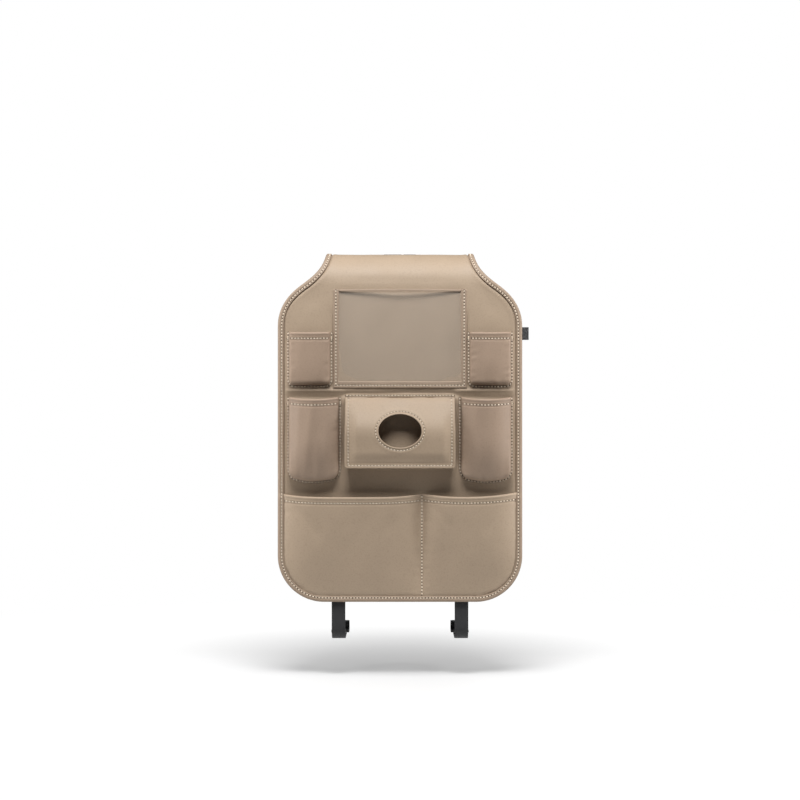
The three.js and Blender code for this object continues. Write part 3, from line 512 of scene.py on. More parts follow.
def sewn(name, rows, closed=()):
    """One piece of stitches along rows, with dark lenses of painted shade at the needle holes. A row is
    points (u, v) and the height of the surface over them.
    """
    # the hole bodies are dark lenses of painted shade at the needle holes
    bodies = {"stitch": ([], []), "hole": ([], [])}
    forms = {
        "stitch": (stitch_form(), (STITCH_LENGTH / 1000, THREAD / 2000, THREAD / 2000)),
        "hole": (needle_hole_form(), np.array(HOLE_SHADE_SIZE) / 1000),
    }
    for number, (line, surface) in enumerate(rows):
        line = np.asarray(line, float)
        if number in closed:
            line = np.vstack([line, line[:1]])
        along = lengths(line)
        count = max(1, int(along[-1] // STITCH_PITCH))
        pitch = along[-1] / count
        ends = np.arange(count + (number not in closed))
        places = {"stitch": (np.arange(count) + 0.5) * pitch, "hole": ends * pitch}

        def at(distance):
            return [np.interp(distance, along, line[:, k]) for k in range(2)]

        def spot(p, q):
            return on_panel(p, q, surface(p, q))

        for kind, distance in places.items():
            p, q = at(distance)
            reach = STITCH_LENGTH / 2 if kind == "stitch" else 0.4
            before, after = spot(*at(distance - reach)), spot(*at(distance + reach))
            ahead = unit(after - before)
            out = unit(np.cross(spot(p + 0.5, q) - spot(p - 0.5, q), spot(p, q + 0.5) - spot(p, q - 0.5)))
            side = np.cross(out, ahead)
            (shape, shape_faces), scale = forms[kind]
            form = shape * scale
            centre = (before + after) / 2
            placed = (
                centre[:, None]
                + form[None, :, :1] * ahead[:, None]
                + form[None, :, 1:2] * side[:, None]
                + form[None, :, 2:] * out[:, None]
            )
            points, faces = bodies[kind]
            start = sum(len(block) for block in points)
            points.append(placed.reshape(-1, 3))
            for k in range(len(distance)):
                faces += [[start + k * len(shape) + i for i in face] for face in shape_faces]
    stitches, holes = (np.vstack(bodies[kind][0]) for kind in ("stitch", "hole"))
    hole_faces = [[len(stitches) + i for i in face] for face in bodies["hole"][1]]
    piece = made(name, np.vstack([stitches, holes]), bodies["stitch"][1] + hole_faces, 80)
    piece.data.materials.append(thread)
    piece.data.materials.append(needle_hole_shade)
    slots = np.r_[np.zeros(len(bodies["stitch"][1]), int), np.ones(len(hole_faces), int)]
    piece.data.polygons.foreach_set("material_index", slots)
    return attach(piece, "root")


def swept(name, sections, ring=False, sharp=50, uv=None):
    """A body through closed sections of as many points each, joined into a ring or capped."""
    count, size = sections.shape[:2]
    index = np.arange(count * size).reshape(count, size)
    index = np.hstack([index, index[:, :1]])
    if ring:
        index = np.vstack([index, index[:1]])
    faces = quads(index).reshape(-1, 4).tolist()
    if not ring:
        faces += [index[0, :-1][::-1].tolist(), index[-1, :-1].tolist()]
    return made(name, sections.reshape(-1, 3), faces, sharp, uv)


def binding_section(front):
    """The folded strip across the edge, as points (inset, w), for a front face at that height."""
    rear = -0.3
    tops = [
        (BINDING - 0.2, 0.1),
        (BINDING + 0.1, 0.6),
        (BINDING - 0.3, 1.3),
        (BINDING - 1.2, 1.65),
        (BINDING_STITCH + 1.1, 1.3),
        (BINDING_STITCH, 0.75),
        (BINDING_STITCH - 1.2, 1.2),
        (3.6, 1.9),
        (1.8, 1.6),
        (0.3, 0.8),
        (-0.7, -0.2),
    ]
    outer = [(i, front + w) for i, w in tops]
    nose = [
        (-BINDING_REACH, front - 0.9),
        (-BINDING_REACH - 0.1, (front + rear) / 2),
        (-BINDING_REACH, rear - 0.2),
    ]
    under = [(-0.6, rear - 0.75), (1.0, rear - 0.9), (BINDING - 1, rear - 0.9), (BINDING, rear - 0.5)]
    inner = [(BINDING, rear), (-0.3, rear), (-0.3, front), (BINDING - 0.4, front)]
    return np.array(outer + nose + under + inner)


def binding_front(v):
    """The face that the binding's front lies on: the bottom pocket's sheet makes it thicker there."""
    return PANEL_FRONT + 0.1 + POCKET_SHEET * falling(v - BOTTOM_POCKET_HEIGHT, 1.2)


line, inward = outline(0, BINDING_STEP)
pull = 0.5 + 0.5 * np.cos(np.arange(len(line)) * 2 * math.pi / 3)
waver = 0.35 * cloud(np.arange(len(line)) * BINDING_STEP, np.zeros(len(line)), 60, 12)
sections = []
for (at_u, at_v), (in_u, in_v), puff, drift in zip(line, inward, pull, waver):
    section = binding_section(float(binding_front(at_v)))
    proud = section[:, 1] > float(binding_front(at_v)) + 0.3
    section[:, 1] += proud * (0.22 * puff + 0.2 * drift)
    section[:4, 0] += drift
    sections.append(on_panel(at_u + in_u * section[:, 0], at_v + in_v * section[:, 0], section[:, 1]))
binding = swept("folded_edge_binding", np.array(sections), ring=True, sharp=60)
fitted(binding, trim_leatherette, "leatherette_trim", "edge_binding")
seam, _ = outline(BINDING_STITCH, 2.0)
sewn("stitches_of_binding", [(seam, lambda p, q: binding_front(q) + 0.95)], closed=(0,))


# Bottom pocket: one sheet over the whole width, caught in the binding on three sides and sewn down the
# divider. Its mouth has a turned and stitched hem that hangs in two shallow curves. It is cut wider than the
# panel and has stretched in use, so it stays full at the mouth.
FULLNESS = 20
DIVIDER = (39, 47)
DIVIDER_STITCH = 43
HEM = 14
HEM_STITCH = 12.5
HEM_ROW_END = 226
BOTTOM_FOLDS = (
    ((-215, 196), (-150, 120), 10, 1.2),
    ((30, 200), (-30, 135), 11, 1.0),
    ((56, 200), (105, 140), 9, 1.0),
    ((216, 198), (160, 130), 10, 1.1),
)


def rimmed(low, high, step, rim=1.5, shares=(0, 0.15, 0.5)):
    """Positions from low to high, closer together at both ends, where the sheet's edge is rounded."""
    ends = rim * np.array(shares)
    count = max(2, round((high - low - 2 * rim) / step) + 1)
    return np.r_[low + ends, np.linspace(low + rim, high - rim, count), high - ends[::-1]]


def finer(positions, *zones):
    """Adds positions a mm apart within zones, where the relief is fine."""
    extra = [np.arange(low, high, 1.0) for low, high in zones]
    merged = np.unique(np.concatenate([positions, *extra]))
    near_ends = (merged < positions[0] + 1.6) | (merged > positions[-1] - 1.6)
    gap = np.r_[9.0, np.diff(merged)]
    return merged[(gap > 0.45) | (near_ends & np.isin(merged, positions))]


def thickness(distance, sheet):
    """Share of the sheet's thickness left at a distance from its edge, so that the edge is rounded."""
    reach = np.clip(1 - distance / (sheet / 2), 0, 1)
    return np.maximum(0.2, np.sqrt(1 - reach**2))


def hem_relief(below):
    """Face of a turned hem by the distance below its fold: a roll, a doubled band and two dips."""
    past_stitch = below - HEM_STITCH
    band = 0.8 * falling(past_stitch - 2.2, 0.6)
    fold = 1.1 * near(below - 3.4, 2.6) - 1.7 * (1 - np.sqrt(1 - np.clip(1 - below / 2.6, 0, 1) ** 2))
    return band + fold - 1.2 * near(past_stitch, 1.6) - 0.6 * near(past_stitch - 3.4, 1.6)


def compartment(u, v):
    """The two sides of the compartment that a point is in."""
    half = half_at(v, BINDING)
    left = u < DIVIDER_STITCH
    return np.where(left, -half, DIVIDER[1]), np.where(left, DIVIDER[0], half)


def bottom_fullness(u, v):
    """How far the sheet stands off the panel: full at the mouth and nothing at the seams."""
    low, high = compartment(u, v)
    share = np.clip((2 * u - low - high) / (high - low), -1, 1)
    rise = np.sin(np.clip((v - BINDING) / (BOTTOM_POCKET_HEIGHT - BINDING), 0, 1) * math.pi / 2)
    full = (1 - share**4) * rise
    waves = 0.8 * cloud(u, v, 52, 21, 2.2, 1.35) + 0.2 * cloud(u, v, 20, 22, 2.0, 1.2)
    return full * (FULLNESS + waves)


def bottom_relief(u, v, below):
    """The hem, the pull of the divider's stitches, puckers along the seams and four long folds."""
    low, high = compartment(u, v)
    side = np.minimum(np.abs(u - low), np.abs(high - u))
    height = hem_relief(below) - 0.9 * near(u - DIVIDER_STITCH, 2)
    height += 0.35 * cloud(u, v, 9, 23, 2.5, 0.1) * near(side, 14)
    for start, end, width, depth in BOTTOM_FOLDS:
        height += crease(u, v, start, end, width, depth)
    return height


def mouth_hang(u):
    """How far the mouth's edge lies above or below the straight line from seam to seam."""
    side = PANEL_HALF - BINDING
    share_left = np.clip((2 * u + side - DIVIDER[0]) / (side + DIVIDER[0]), -1, 1)
    share_right = np.clip((2 * u - side - DIVIDER[1]) / (side - DIVIDER[1]), -1, 1)
    left = 3.0 - 5.6 * (1 - share_left**4)
    rise = 3.0 * np.clip((u - DIVIDER[1]) / (side - DIVIDER[1]), 0, 1)
    right = 3.0 + rise - 6.6 * (1 - share_right**2)
    return np.where(u < DIVIDER_STITCH, left, right)


def hang(u, v):
    """How far a point of the sheet hangs above or below its flat place, most at the mouth."""
    return mouth_hang(u) * (v / BOTTOM_POCKET_HEIGHT) ** 3


heights = finer(rimmed(0, BOTTOM_POCKET_HEIGHT, 3.0), (188, 207))
corner_heights = EDGE[EDGE[:, 1] < 12][::6, 1]
heights = np.unique(np.round(np.r_[heights, corner_heights[corner_heights > 0.3]], 2))
left = rimmed(0, 1, 1 / 70, 0.006)[:-1]
right = rimmed(0, 1, 1 / 52, 0.008)[1:]
middle = np.linspace(DIVIDER[0], DIVIDER[1], 7)
halves = half_at(heights)[:, None]
u = np.hstack(
    [
        -halves + left * (DIVIDER[0] + halves),
        np.repeat(middle[None], len(heights), axis=0),
        DIVIDER[1] + right * (halves - DIVIDER[1]),
    ]
)
v = np.repeat(heights[:, None], u.shape[1], axis=1)
below = BOTTOM_POCKET_HEIGHT - v
hung = v + hang(u, v)
full = bottom_fullness(u, v)
turned = np.where(below <= HEM, POCKET_SHEET, 0)
under = PANEL_FRONT + np.maximum(0, full - turned)
over = PANEL_FRONT + POCKET_SHEET + np.maximum(0, full + bottom_relief(u, v, below))
inset = from_edge(u, v)
over = np.where(inset < BINDING, np.minimum(over, PANEL_FRONT + POCKET_SHEET), over)
pulled = 1.6 * near(inset - BINDING - 1.2, 1.6)
over, under = over - pulled, under - pulled
halfway = (over + under) / 2
share = thickness(below, 2.6)
over, under = halfway + (over - halfway) * share, halfway + (under - halfway) * share
bottom_pocket = shell("bottom_pocket", on_panel(u, hung, over), on_panel(u, hung, under), sharp=65)
fitted(bottom_pocket, beige_leatherette, "leatherette", "bottom_pocket_front")


def bottom_face(p, q):
    """Height of the bottom pocket's face over a place on the panel."""
    straight = q - hang(p, q)
    height = bottom_fullness(p, straight) + bottom_relief(p, straight, BOTTOM_POCKET_HEIGHT - straight)
    return PANEL_FRONT + POCKET_SHEET + np.maximum(0, height)


across = [np.linspace(-HEM_ROW_END, DIVIDER[0], 80), np.linspace(DIVIDER[1], HEM_ROW_END, 60)]
stitched = BOTTOM_POCKET_HEIGHT - HEM_STITCH
hem_rows = [(np.c_[x, stitched + hang(x, stitched)], bottom_face) for x in across]
divider = np.c_[np.full(60, DIVIDER_STITCH), np.linspace(BINDING + 2, BOTTOM_POCKET_HEIGHT, 60)]
sewn("stitches_of_bottom_pocket", [*hem_rows, (divider, bottom_face)])


# Box pockets: a front with a turned hem, and a gusset strip round its sides and foot. The gusset's flange is
# sewn to the panel, and its other edge is turned in under the front. The upper pair is shallow. The lower
# pair is deep, with a bowed foot, and stays round from use. The fronts get a darker copy of the panel's
# leatherette, as painted shade.
FLANGE = 4.5
SLANT = 1.0
GUSSET_SHEET = 1.2
FLANGE_STITCH = 2.8
POCKET_INSET = 16.5
SIDE_ROUND = (4.5, 3.6)
ROUND_SHARES = (0, 0.04, 0.14, 0.32, 0.6)
SEAM_STEP = 2.0
# a darker copy of the panel's leatherette: painted shade on the pocket fronts
POCKET_SHADE_LEATHER = "#9f8976"

shaded_pocket_leatherette = leatherette("pocket_shaded_leatherette", POCKET_SHADE_LEATHER, LEATHER_DEEP)


class BoxPocket:
    """The shape of one box pocket, from the sizes of its outside on the panel.

    bow is how far the foot bulges down, dip how far the mouth sags, wall the gusset's depth, crown how far
    the front bulges out and full_from the height where it is full. foot_round is the reach and depth of the
    foot's rounding, and folds is the height of its long wrinkles.
    """

    def __init__(
        self, side, seed, low, width, height, corner, bow, dip, wall, crown, full_from, foot_round, folds
    ):
        self.x = side * (PANEL_HALF - POCKET_INSET - width / 2)
        self.corner, self.bow, self.wall, self.crown = corner, bow, wall, crown
        self.half = width / 2 - FLANGE - SLANT
        self.low = low + FLANGE + SLANT + bow
        self.tall = height - FLANGE - SLANT - bow
        self.full_from, self.dip, self.folds, self.seed = full_from, dip, folds, seed
        self.rounding = (SIDE_ROUND, foot_round)

    def half_at(self, v):
        """Half the front's width at a height, narrower at its rounded lower corners."""
        return self.half - self.corner + np.sqrt(self.corner**2 - np.maximum(0, self.corner - v) ** 2)

    def place(self, u, v):
        """Sheet coordinates of a point of the front, u from its middle and v from its foot."""
        share = u / self.half
        foot = self.bow * (1 - share**2) * (1 - v / self.tall) ** 2
        return self.x + u, self.low + v - foot - self.dip * (1 - share**2) * (v / self.tall) ** 4

    def fall(self, u, v):
        """How far the front falls back at its rounded sides and foot."""
        drops = []
        for away, (reach, depth) in zip((self.half_at(v) - np.abs(u), v), self.rounding):
            near_edge = np.clip(1 - away / reach, 0, 1)
            drops.append(depth * (1 - np.sqrt(1 - near_edge**2)))
        return np.maximum(*drops)

    def face(self, u, v):
        """Height of the front's face over the lining's back."""
        share = np.clip(u / self.half_at(v), -1, 1)
        rise = np.sin(np.clip(v / self.full_from, 0, 1) * math.pi / 2)
        side = self.half_at(v) - np.abs(u)
        full = self.crown * (1 - share**2) * rise
        # wrinkles start at the seams and run up and inwards, and the middle stays smooth
        full += 0.4 * cloud(u, v, 30, self.seed, 3.0, 1.3) * np.clip(np.minimum(side, v) / 20, 0, 1)
        full += 0.3 * cloud(u, v, 8, self.seed + 1, 2.6, 0.2) * near(side - 4, 8)
        full += 0.45 * cloud(u, v, 8, self.seed + 2, 2.6, 1.5) * near(v - 3, 8)
        full += self.folds * cloud(u, v, 15, self.seed + 3, 6.0, 1.5) * np.clip(side / 12, 0, 1)
        return PANEL_FRONT + self.wall + POCKET_SHEET + full + hem_relief(self.tall - v) - self.fall(u, v)

    def front(self, name):
        """The front's sheet, folded double at its hem."""
        across = rimmed(-self.half, self.half, 2.4, 4.5, ROUND_SHARES)
        heights = rimmed(0, self.tall, 2.6, 4.0, ROUND_SHARES)
        heights = finer(heights, (self.tall - 20, self.tall - 2))
        v = np.repeat(heights[:, None], len(across), axis=1)
        u = across * self.half_at(v) / self.half
        over = self.face(u, v)
        below = self.tall - v
        sheet = POCKET_SHEET * np.where(below <= HEM, 2, 1)
        middle = over - sheet / 2
        part = thickness(np.minimum(below, self.half_at(v) - np.abs(u)), 2.0) * sheet / 2
        p, q = self.place(u, v)
        return shell(name, on_panel(p, q, middle + part), on_panel(p, q, middle - part), sharp=65)

    def seam(self):
        """The front's edge down the left side, along the foot and up the right side, as (u, v)."""
        half, corner = self.half, self.corner
        down = np.linspace(self.tall, corner, round(self.tall / SEAM_STEP))
        turn = np.linspace(0, math.pi / 2, 10)[1:]
        left = np.c_[np.full(len(down), -half), down]
        bend = np.c_[-half + corner * (1 - np.cos(turn)), corner * (1 - np.sin(turn))]
        flat = np.linspace(-half + corner, half - corner, round(2 * half / SEAM_STEP))[1:-1]
        foot = np.c_[flat, np.zeros(len(flat))]
        return np.vstack([left, bend, foot, (bend * (-1, 1))[::-1], (left * (-1, 1))[::-1]])

    def seam_on_panel(self):
        """The seam in sheet coordinates, with the direction that points out of the pocket at each point."""
        line = np.c_[self.place(*self.seam().T)]
        return line, directions(line)[:, ::-1] * (1, -1)

    def gusset(self, name):
        """The strip round the pocket: a flange on the panel, a slanting wall and a lip under the front."""
        line, outward = self.seam_on_panel()
        sag = 0.5 + 0.5 * cloud(np.arange(len(line)) * SEAM_STEP, np.zeros(len(line)), 24, self.seed + 5)
        sections = []
        for own, (a, b), (da, db), slack in zip(self.seam(), line, outward, sag):
            bulge = slack * min(1.0, self.wall * 0.1)
            inner = [own - (da * d, db * d) for d in (0, 0.5, 1.6, 3.2, 6.0)]
            rim = [float(self.wall - 0.4 - self.fall(u, max(v, 0))) for u, v in inner]
            # along the mouth's hem the flange is folded double as well
            pile = 1.5 if self.tall - own[1] < HEM else 1.0
            profile = np.array(
                [
                    (SLANT + FLANGE - 0.2, 0.0),
                    (SLANT + FLANGE, 0.5 * pile),
                    (SLANT + FLANGE - 0.5, 1.15 * pile),
                    (FLANGE_STITCH + 1.1, 1.25 * pile),
                    (FLANGE_STITCH, 0.6 * pile),
                    (FLANGE_STITCH - 1.0, 1.15 * pile),
                    (SLANT + 0.2, 1.7 * pile),
                    (SLANT * 0.7 + bulge, 1.9 + (rim[0] - 1.9) * 0.35),
                    (SLANT * 0.4 + bulge, 1.9 + (rim[0] - 1.9) * 0.75),
                    (0.0, rim[0]),
                    (-0.5, rim[1]),
                    (-1.6, rim[2]),
                    (-3.2, rim[3]),
                    (-6, rim[4]),
                    (-6, rim[4] - GUSSET_SHEET),
                    (-3.3, rim[3] - GUSSET_SHEET),
                    (-1.8, rim[1] - GUSSET_SHEET),
                    (SLANT * 0.4 - GUSSET_SHEET, rim[0] * 0.6),
                    (SLANT * 0.7 - GUSSET_SHEET, rim[0] * 0.3),
                    (SLANT - GUSSET_SHEET, 0.0),
                ]
            )
            out, height = profile.T
            sections.append(on_panel(a + da * out, b + db * out, PANEL_FRONT + height))
        return swept(name, np.array(sections), sharp=60)

    def stitches(self, name):
        """Rows along the hem, over its folded flanges and down the flange on the panel."""

        def on_front(p, q):
            u = p - self.x
            v = q - self.low
            for _ in range(4):
                v = v + (q - self.place(u, v)[1])
            return self.face(u, np.clip(v, 0, self.tall))

        def on_flange(p, q):
            return PANEL_FRONT + 0.9 + 0.5 * (q > self.low + self.tall - HEM)

        across = np.linspace(2.5 - self.half, self.half - 2.5, 40)
        hem = np.c_[self.place(across, np.full(40, self.tall - HEM_STITCH))]
        line, outward = self.seam_on_panel()
        hem_height = self.low + self.tall - HEM_STITCH
        rows = [(hem, on_front), (line + outward * FLANGE_STITCH, on_flange)]
        for side in (-1, 1):
            ends = [(self.x + side * (self.half + reach), hem_height) for reach in (0.8, 5.6)]
            rows.append((ends, lambda p, q: PANEL_FRONT + 2.0 + 0 * p))
        return sewn(name, rows)


SIDE_POCKET = {
    "low": 419,
    "width": 90.5,
    "height": 110,
    "corner": 10,
    "bow": 0,
    "dip": 0.8,
    "wall": 9,
    "crown": 4,
    "full_from": 55,
    "foot_round": (11, 7.8),
    "folds": 0.15,
}
BOTTLE_POCKET = {
    "low": 231,
    "width": 107.5,
    "height": 170,
    "corner": 13,
    "bow": 9,
    "dip": 4,
    "wall": 20,
    "crown": 20,
    "full_from": 76.5,
    "foot_round": (8, 8),
    "folds": 0.5,
}
box_pockets = {
    "phone_pocket": (BoxPocket(-1, seed=31, **SIDE_POCKET), "phone_pocket_{}"),
    "small_pocket": (BoxPocket(1, seed=41, **SIDE_POCKET), "small_pocket_{}"),
    "left_bottle_pocket": (BoxPocket(-1, seed=51, **BOTTLE_POCKET), "bottle_pocket_{}_left"),
    "right_bottle_pocket": (BoxPocket(1, seed=61, **BOTTLE_POCKET), "bottle_pocket_{}_right"),
}
for name, (pocket, cad) in box_pockets.items():
    strip = name + "_gusset_strip"
    pocket_front = fitted(pocket.front(name), shaded_pocket_leatherette, "leatherette", cad.format("front"))
    pocket_gusset = fitted(pocket.gusset(strip), trim_leatherette, "leatherette_trim", cad.format("gusset"))
    run = 2 * (pocket.tall + pocket.half) / 1000
    pocket.stitches("stitches_of_" + name)


# Tablet pocket: a soft PVC window under a frame of leatherette strips, sewn down on three sides and open at
# the top. The vinyl is clear, glossy and a little wavy, and hazy from handling.
TABLET_HALF = 131
TABLET_LOW = 419
TABLET_TOP = TABLET_LOW + 194
TABLET_FULLNESS = 8
STRIP = 11
FOOT_STRIP = 13
TOP_STRIP = 4
STRIP_STITCH = 5.0
WINDOW = 0.5


def soft_vinyl():
    """Calendered PVC film: clear and glossy, with slow ripples, and hazed in patches by handling."""
    material, tree, shader, place = new_material("clear_soft_vinyl")
    haze = node(tree, "ShaderNodeTexNoise", {"Vector": place, "Scale": 1000 / 120, "Detail": 1.0})
    smear = node(
        tree,
        "ShaderNodeMapRange",
        {"Value": haze.outputs["Fac"], "From Min": 0.3, "From Max": 0.7, "To Min": 0.08, "To Max": 0.2},
    )
    ripple = node(
        tree, "ShaderNodeBump", {"Height": haze.outputs["Fac"], "Distance": 0.004, "Strength": 0.15}
    )
    tree.links.new(smear.outputs[0], shader.inputs["Roughness"])
    tree.links.new(ripple.outputs[0], shader.inputs["Normal"])
    shader.inputs["Base Color"].default_value = linear("#c9c2b8")
    shader.inputs["Alpha"].default_value = 0.12
    shader.inputs["IOR"].default_value = 1.53
    shader.inputs["Specular IOR Level"].default_value = 1.0
    return material


def tablet_bow(u, v):
    """How far the window bows out, most at its open top."""
    share = np.clip(u / (TABLET_HALF - STRIP), -1, 1)
    foot = TABLET_LOW + FOOT_STRIP
    rise = np.sin(np.clip((v - foot) / (TABLET_TOP - foot), 0, 1) * math.pi / 2)
    waves = 0.7 * cloud(u, v, 60, 71, 1.6, 0.8)
    return (1 - share**2) * rise * (TABLET_FULLNESS + waves)


def strip_relief(u, v):
    """The strips are turned under at both edges, and their stitches pull them down."""
    side = np.minimum(TABLET_HALF - np.abs(u), v - TABLET_LOW)
    height = 0.35 - 0.65 * near(side - STRIP_STITCH, 1.4) * (v < TABLET_TOP - 2)
    return height + 0.15 * cloud(u, v, 7, 72, 2.0, 0.7)


across = finer(
    rimmed(-TABLET_HALF, TABLET_HALF, 4.0),
    (2 - TABLET_HALF, 1 + STRIP - TABLET_HALF),
    (TABLET_HALF - STRIP - 1, TABLET_HALF - 2),
)
heights = finer(
    rimmed(TABLET_LOW, TABLET_TOP, 4.0),
    (TABLET_LOW + 2, TABLET_LOW + FOOT_STRIP + 1),
    (TABLET_TOP - TOP_STRIP - 1, TABLET_TOP - 2),
)
u, v = np.meshgrid(across, heights)
bow = tablet_bow(u, v)
base = PANEL_FRONT + WINDOW + bow
window = shell("clear_vinyl_window", on_panel(u, v, base), on_panel(u, v, PANEL_FRONT + bow))
fitted(window, soft_vinyl(), "clear_vinyl", "tablet_pocket_window")

inner_side = TABLET_HALF - STRIP
cell_u, cell_v = (u[:-1, :-1] + u[1:, 1:]) / 2, (v[:-1, :-1] + v[1:, 1:]) / 2
strips = (np.abs(cell_u) > inner_side) | (cell_v < TABLET_LOW + FOOT_STRIP)
strips |= cell_v > TABLET_TOP - TOP_STRIP
outside = np.minimum(np.minimum(TABLET_HALF - np.abs(u), v - TABLET_LOW), TABLET_TOP - v)
inside = np.minimum(
    np.abs(np.abs(u) - inner_side) + 1e3 * (v < TABLET_LOW + FOOT_STRIP),
    np.abs(v - TABLET_LOW - FOOT_STRIP) + 1e3 * (np.abs(u) > inner_side),
)
rounding = thickness(np.minimum(outside, inside), 1.6)
lifted = base + (POCKET_SHEET + strip_relief(u, v)) * np.maximum(0.35, rounding)
lifted, base = on_panel(u, v, lifted), on_panel(u, v, base)
frame_strips = shell("tablet_pocket_strips", lifted, base, keep=strips, sharp=65)
fitted(frame_strips, trim_leatherette, "leatherette_trim", "tablet_pocket_frame")


def strip_face(p, q):
    """Height of the strips' face over a place on the panel."""
    return PANEL_FRONT + WINDOW + POCKET_SHEET + tablet_bow(p, q) + strip_relief(p, q)


middle = TABLET_HALF - STRIP_STITCH
up = np.linspace(TABLET_LOW + STRIP_STITCH, TABLET_TOP - 1, 40)
rows = [np.c_[np.full(40, side * middle), up] for side in (-1, 1)]
rows.append(np.c_[np.linspace(-middle, middle, 60), np.full(60, TABLET_LOW + STRIP_STITCH)])
sewn("stitches_of_tablet_pocket", [(row, strip_face) for row in rows])


# Wipes pocket: a boxed gusset behind a lid that is sewn on along its top and held at its foot by
# hook-and-loop tape. The rim of the lid's oval hole is turned in and stitched round.
WIPES_DEPTH = 36
LID_HALF = 108
LID_LOW = 262
LID_TALL = 145
LID_CORNER = 8
LID_TOP = 400
LID_KNEE = 319
LID_SIDE_STITCH = 7.0
LID_FOOT_STITCH = 5.6
LID_TOP_STITCH = 3.0
LID_CROWN = 4.5
# a copy of the panel's leatherette, a little darker, as painted shade on the lid
LID_SHADE_LEATHER = "#a5917b"
OVAL = (42, 32.5)
OVAL_MIDDLE = 335
OVAL_STITCH = 5.6


def lid_depth(v):
    """How far the lid stands off the panel: level up to its knee, then down to its sewn top."""
    share = np.clip((v - LID_KNEE) / (LID_TOP - LID_KNEE), 0, 1)
    return WIPES_DEPTH * np.cos(share * math.pi / 2) ** 0.8


def lid_rim(step=2.6):
    """The lid's edge, counterclockwise from its lower left corner, with rounded lower corners."""
    bend = np.linspace(0, math.pi / 2, 8)
    low = np.c_[np.linspace(LID_CORNER - LID_HALF, LID_HALF - LID_CORNER, 80), np.zeros(80)]
    corner = np.c_[LID_HALF - LID_CORNER * (1 - np.sin(bend)), LID_CORNER * (1 - np.cos(bend))]
    top = np.c_[np.linspace(LID_HALF, -LID_HALF, 82), np.full(82, LID_TALL)]
    right = np.c_[np.full(50, LID_HALF), np.linspace(LID_CORNER, LID_TALL, 50)]
    left, last_corner = (right * (-1, 1))[::-1], (corner * (-1, 1))[::-1]
    loop = np.vstack([low, corner[1:], right[1:], top[1:], left[1:], last_corner[1:-1], low[:1]])
    along = lengths(loop)
    even = np.linspace(0, along[-1], round(along[-1] / step), endpoint=False)
    return np.c_[np.interp(even, along, loop[:, 0]), np.interp(even, along, loop[:, 1]) + LID_LOW]


def oval_at(points, grow):
    """The point of the oval that faces each point of the rim, with the oval grown by some mm."""
    angle = np.arctan2((points[:, 1] - OVAL_MIDDLE) / LID_TALL, points[:, 0] / LID_HALF / 2)
    return np.c_[(OVAL[0] + grow) * np.cos(angle), OVAL_MIDDLE + (OVAL[1] + grow) * np.sin(angle)]


def from_oval(u, v):
    """About how far points lie outside the oval hole."""
    reach = np.hypot(u / OVAL[0], (v - OVAL_MIDDLE) / OVAL[1])
    return (reach - 1) * np.hypot(u, v - OVAL_MIDDLE) / np.maximum(reach, 0.2)


def from_lid_edge(u, v):
    """How far points lie in from the lid's nearer side, its foot and its top."""
    side = LID_HALF - np.abs(u)
    return side, v - LID_LOW, LID_LOW + LID_TALL - v


def eased(share):
    """0 to 1 with a soft start and a soft end."""
    t = np.clip(share, 0, 1)
    return t * t * (3 - 2 * t)


def lid_face(u, v):
    """Height of the lid's face: a padded middle, and rows of stitches that pull its rim and hole down."""
    side, foot, top = from_lid_edge(u, v)
    hole = from_oval(u, v)
    full = eased((foot - 8) / 24) * eased((side - 8) / 18) * eased((top - 20) / 50)
    waves = 0.5 * cloud(u, v, 40, 81, 2.0, 0.2) * np.clip(np.minimum(side, foot) / 20, 0, 1)
    height = LID_CROWN * full + waves
    height -= 0.8 * near(foot - LID_FOOT_STITCH, 1.4) + 0.8 * near(foot - 10, 1.4)
    height -= 0.8 * near(side - LID_SIDE_STITCH, 1.5) * (top > 5)
    height -= 0.7 * near(top - LID_TOP_STITCH, 1.2) + 0.9 * near(top - 7.5, 1.4)
    height += 0.7 * near(foot - 1.5, 2) + 0.5 * near(side - 2, 2.5)
    height += 0.9 * near(hole - 1.4, 1.8) - 0.8 * near(hole - OVAL_STITCH, 1.4) + 0.4 * near(hole - 9, 3)
    turn = 1.4 * (1 - np.sqrt(1 - np.clip(1 - np.minimum(side, foot) / 2, 0, 1) ** 2))
    return PANEL_FRONT + lid_depth(v) + POCKET_SHEET + height - turn


# rings of points from the lid's edge to the oval's hem, and from there to the hole
rim = lid_rim()
hem_ring = oval_at(rim, 12)
shares = np.r_[0, 0.006, 0.02, 0.05, 0.085, 0.12, np.linspace(0.16, 1, 20)]
rings = [rim + (hem_ring - rim) * inward_share for inward_share in shares]
rings += [oval_at(rim, grow) for grow in (10.8, 9.6, 8.4, 7.2, 6.2, 5.2, 4.0, 2.8, 1.8, 0.9, 0.3, 0)]
rings = np.array(rings)[::-1]
u, v = rings[..., 0], rings[..., 1]
over = lid_face(u, v)
side, foot, top = from_lid_edge(u, v)
hole = from_oval(u, v)
sheet = POCKET_SHEET * np.where(hole < OVAL_STITCH, 1.7, 1)
middle = over - sheet / 2
part = sheet / 2 * thickness(np.minimum(np.minimum(side, foot), np.minimum(top, hole)), 1.8)
over, under = on_panel(u, v, middle + part), on_panel(u, v, middle - part)
lid = shell("wipes_pocket_lid_sheet", over, under, around=True, sharp=65)
# the lid gets its darker copy of the panel's leatherette: painted shade
shaded_lid_leatherette = leatherette("lid_shaded_leatherette", LID_SHADE_LEATHER, LEATHER_DEEP)
fitted(lid, shaded_lid_leatherette, "leatherette", "wipes_pocket_lid")

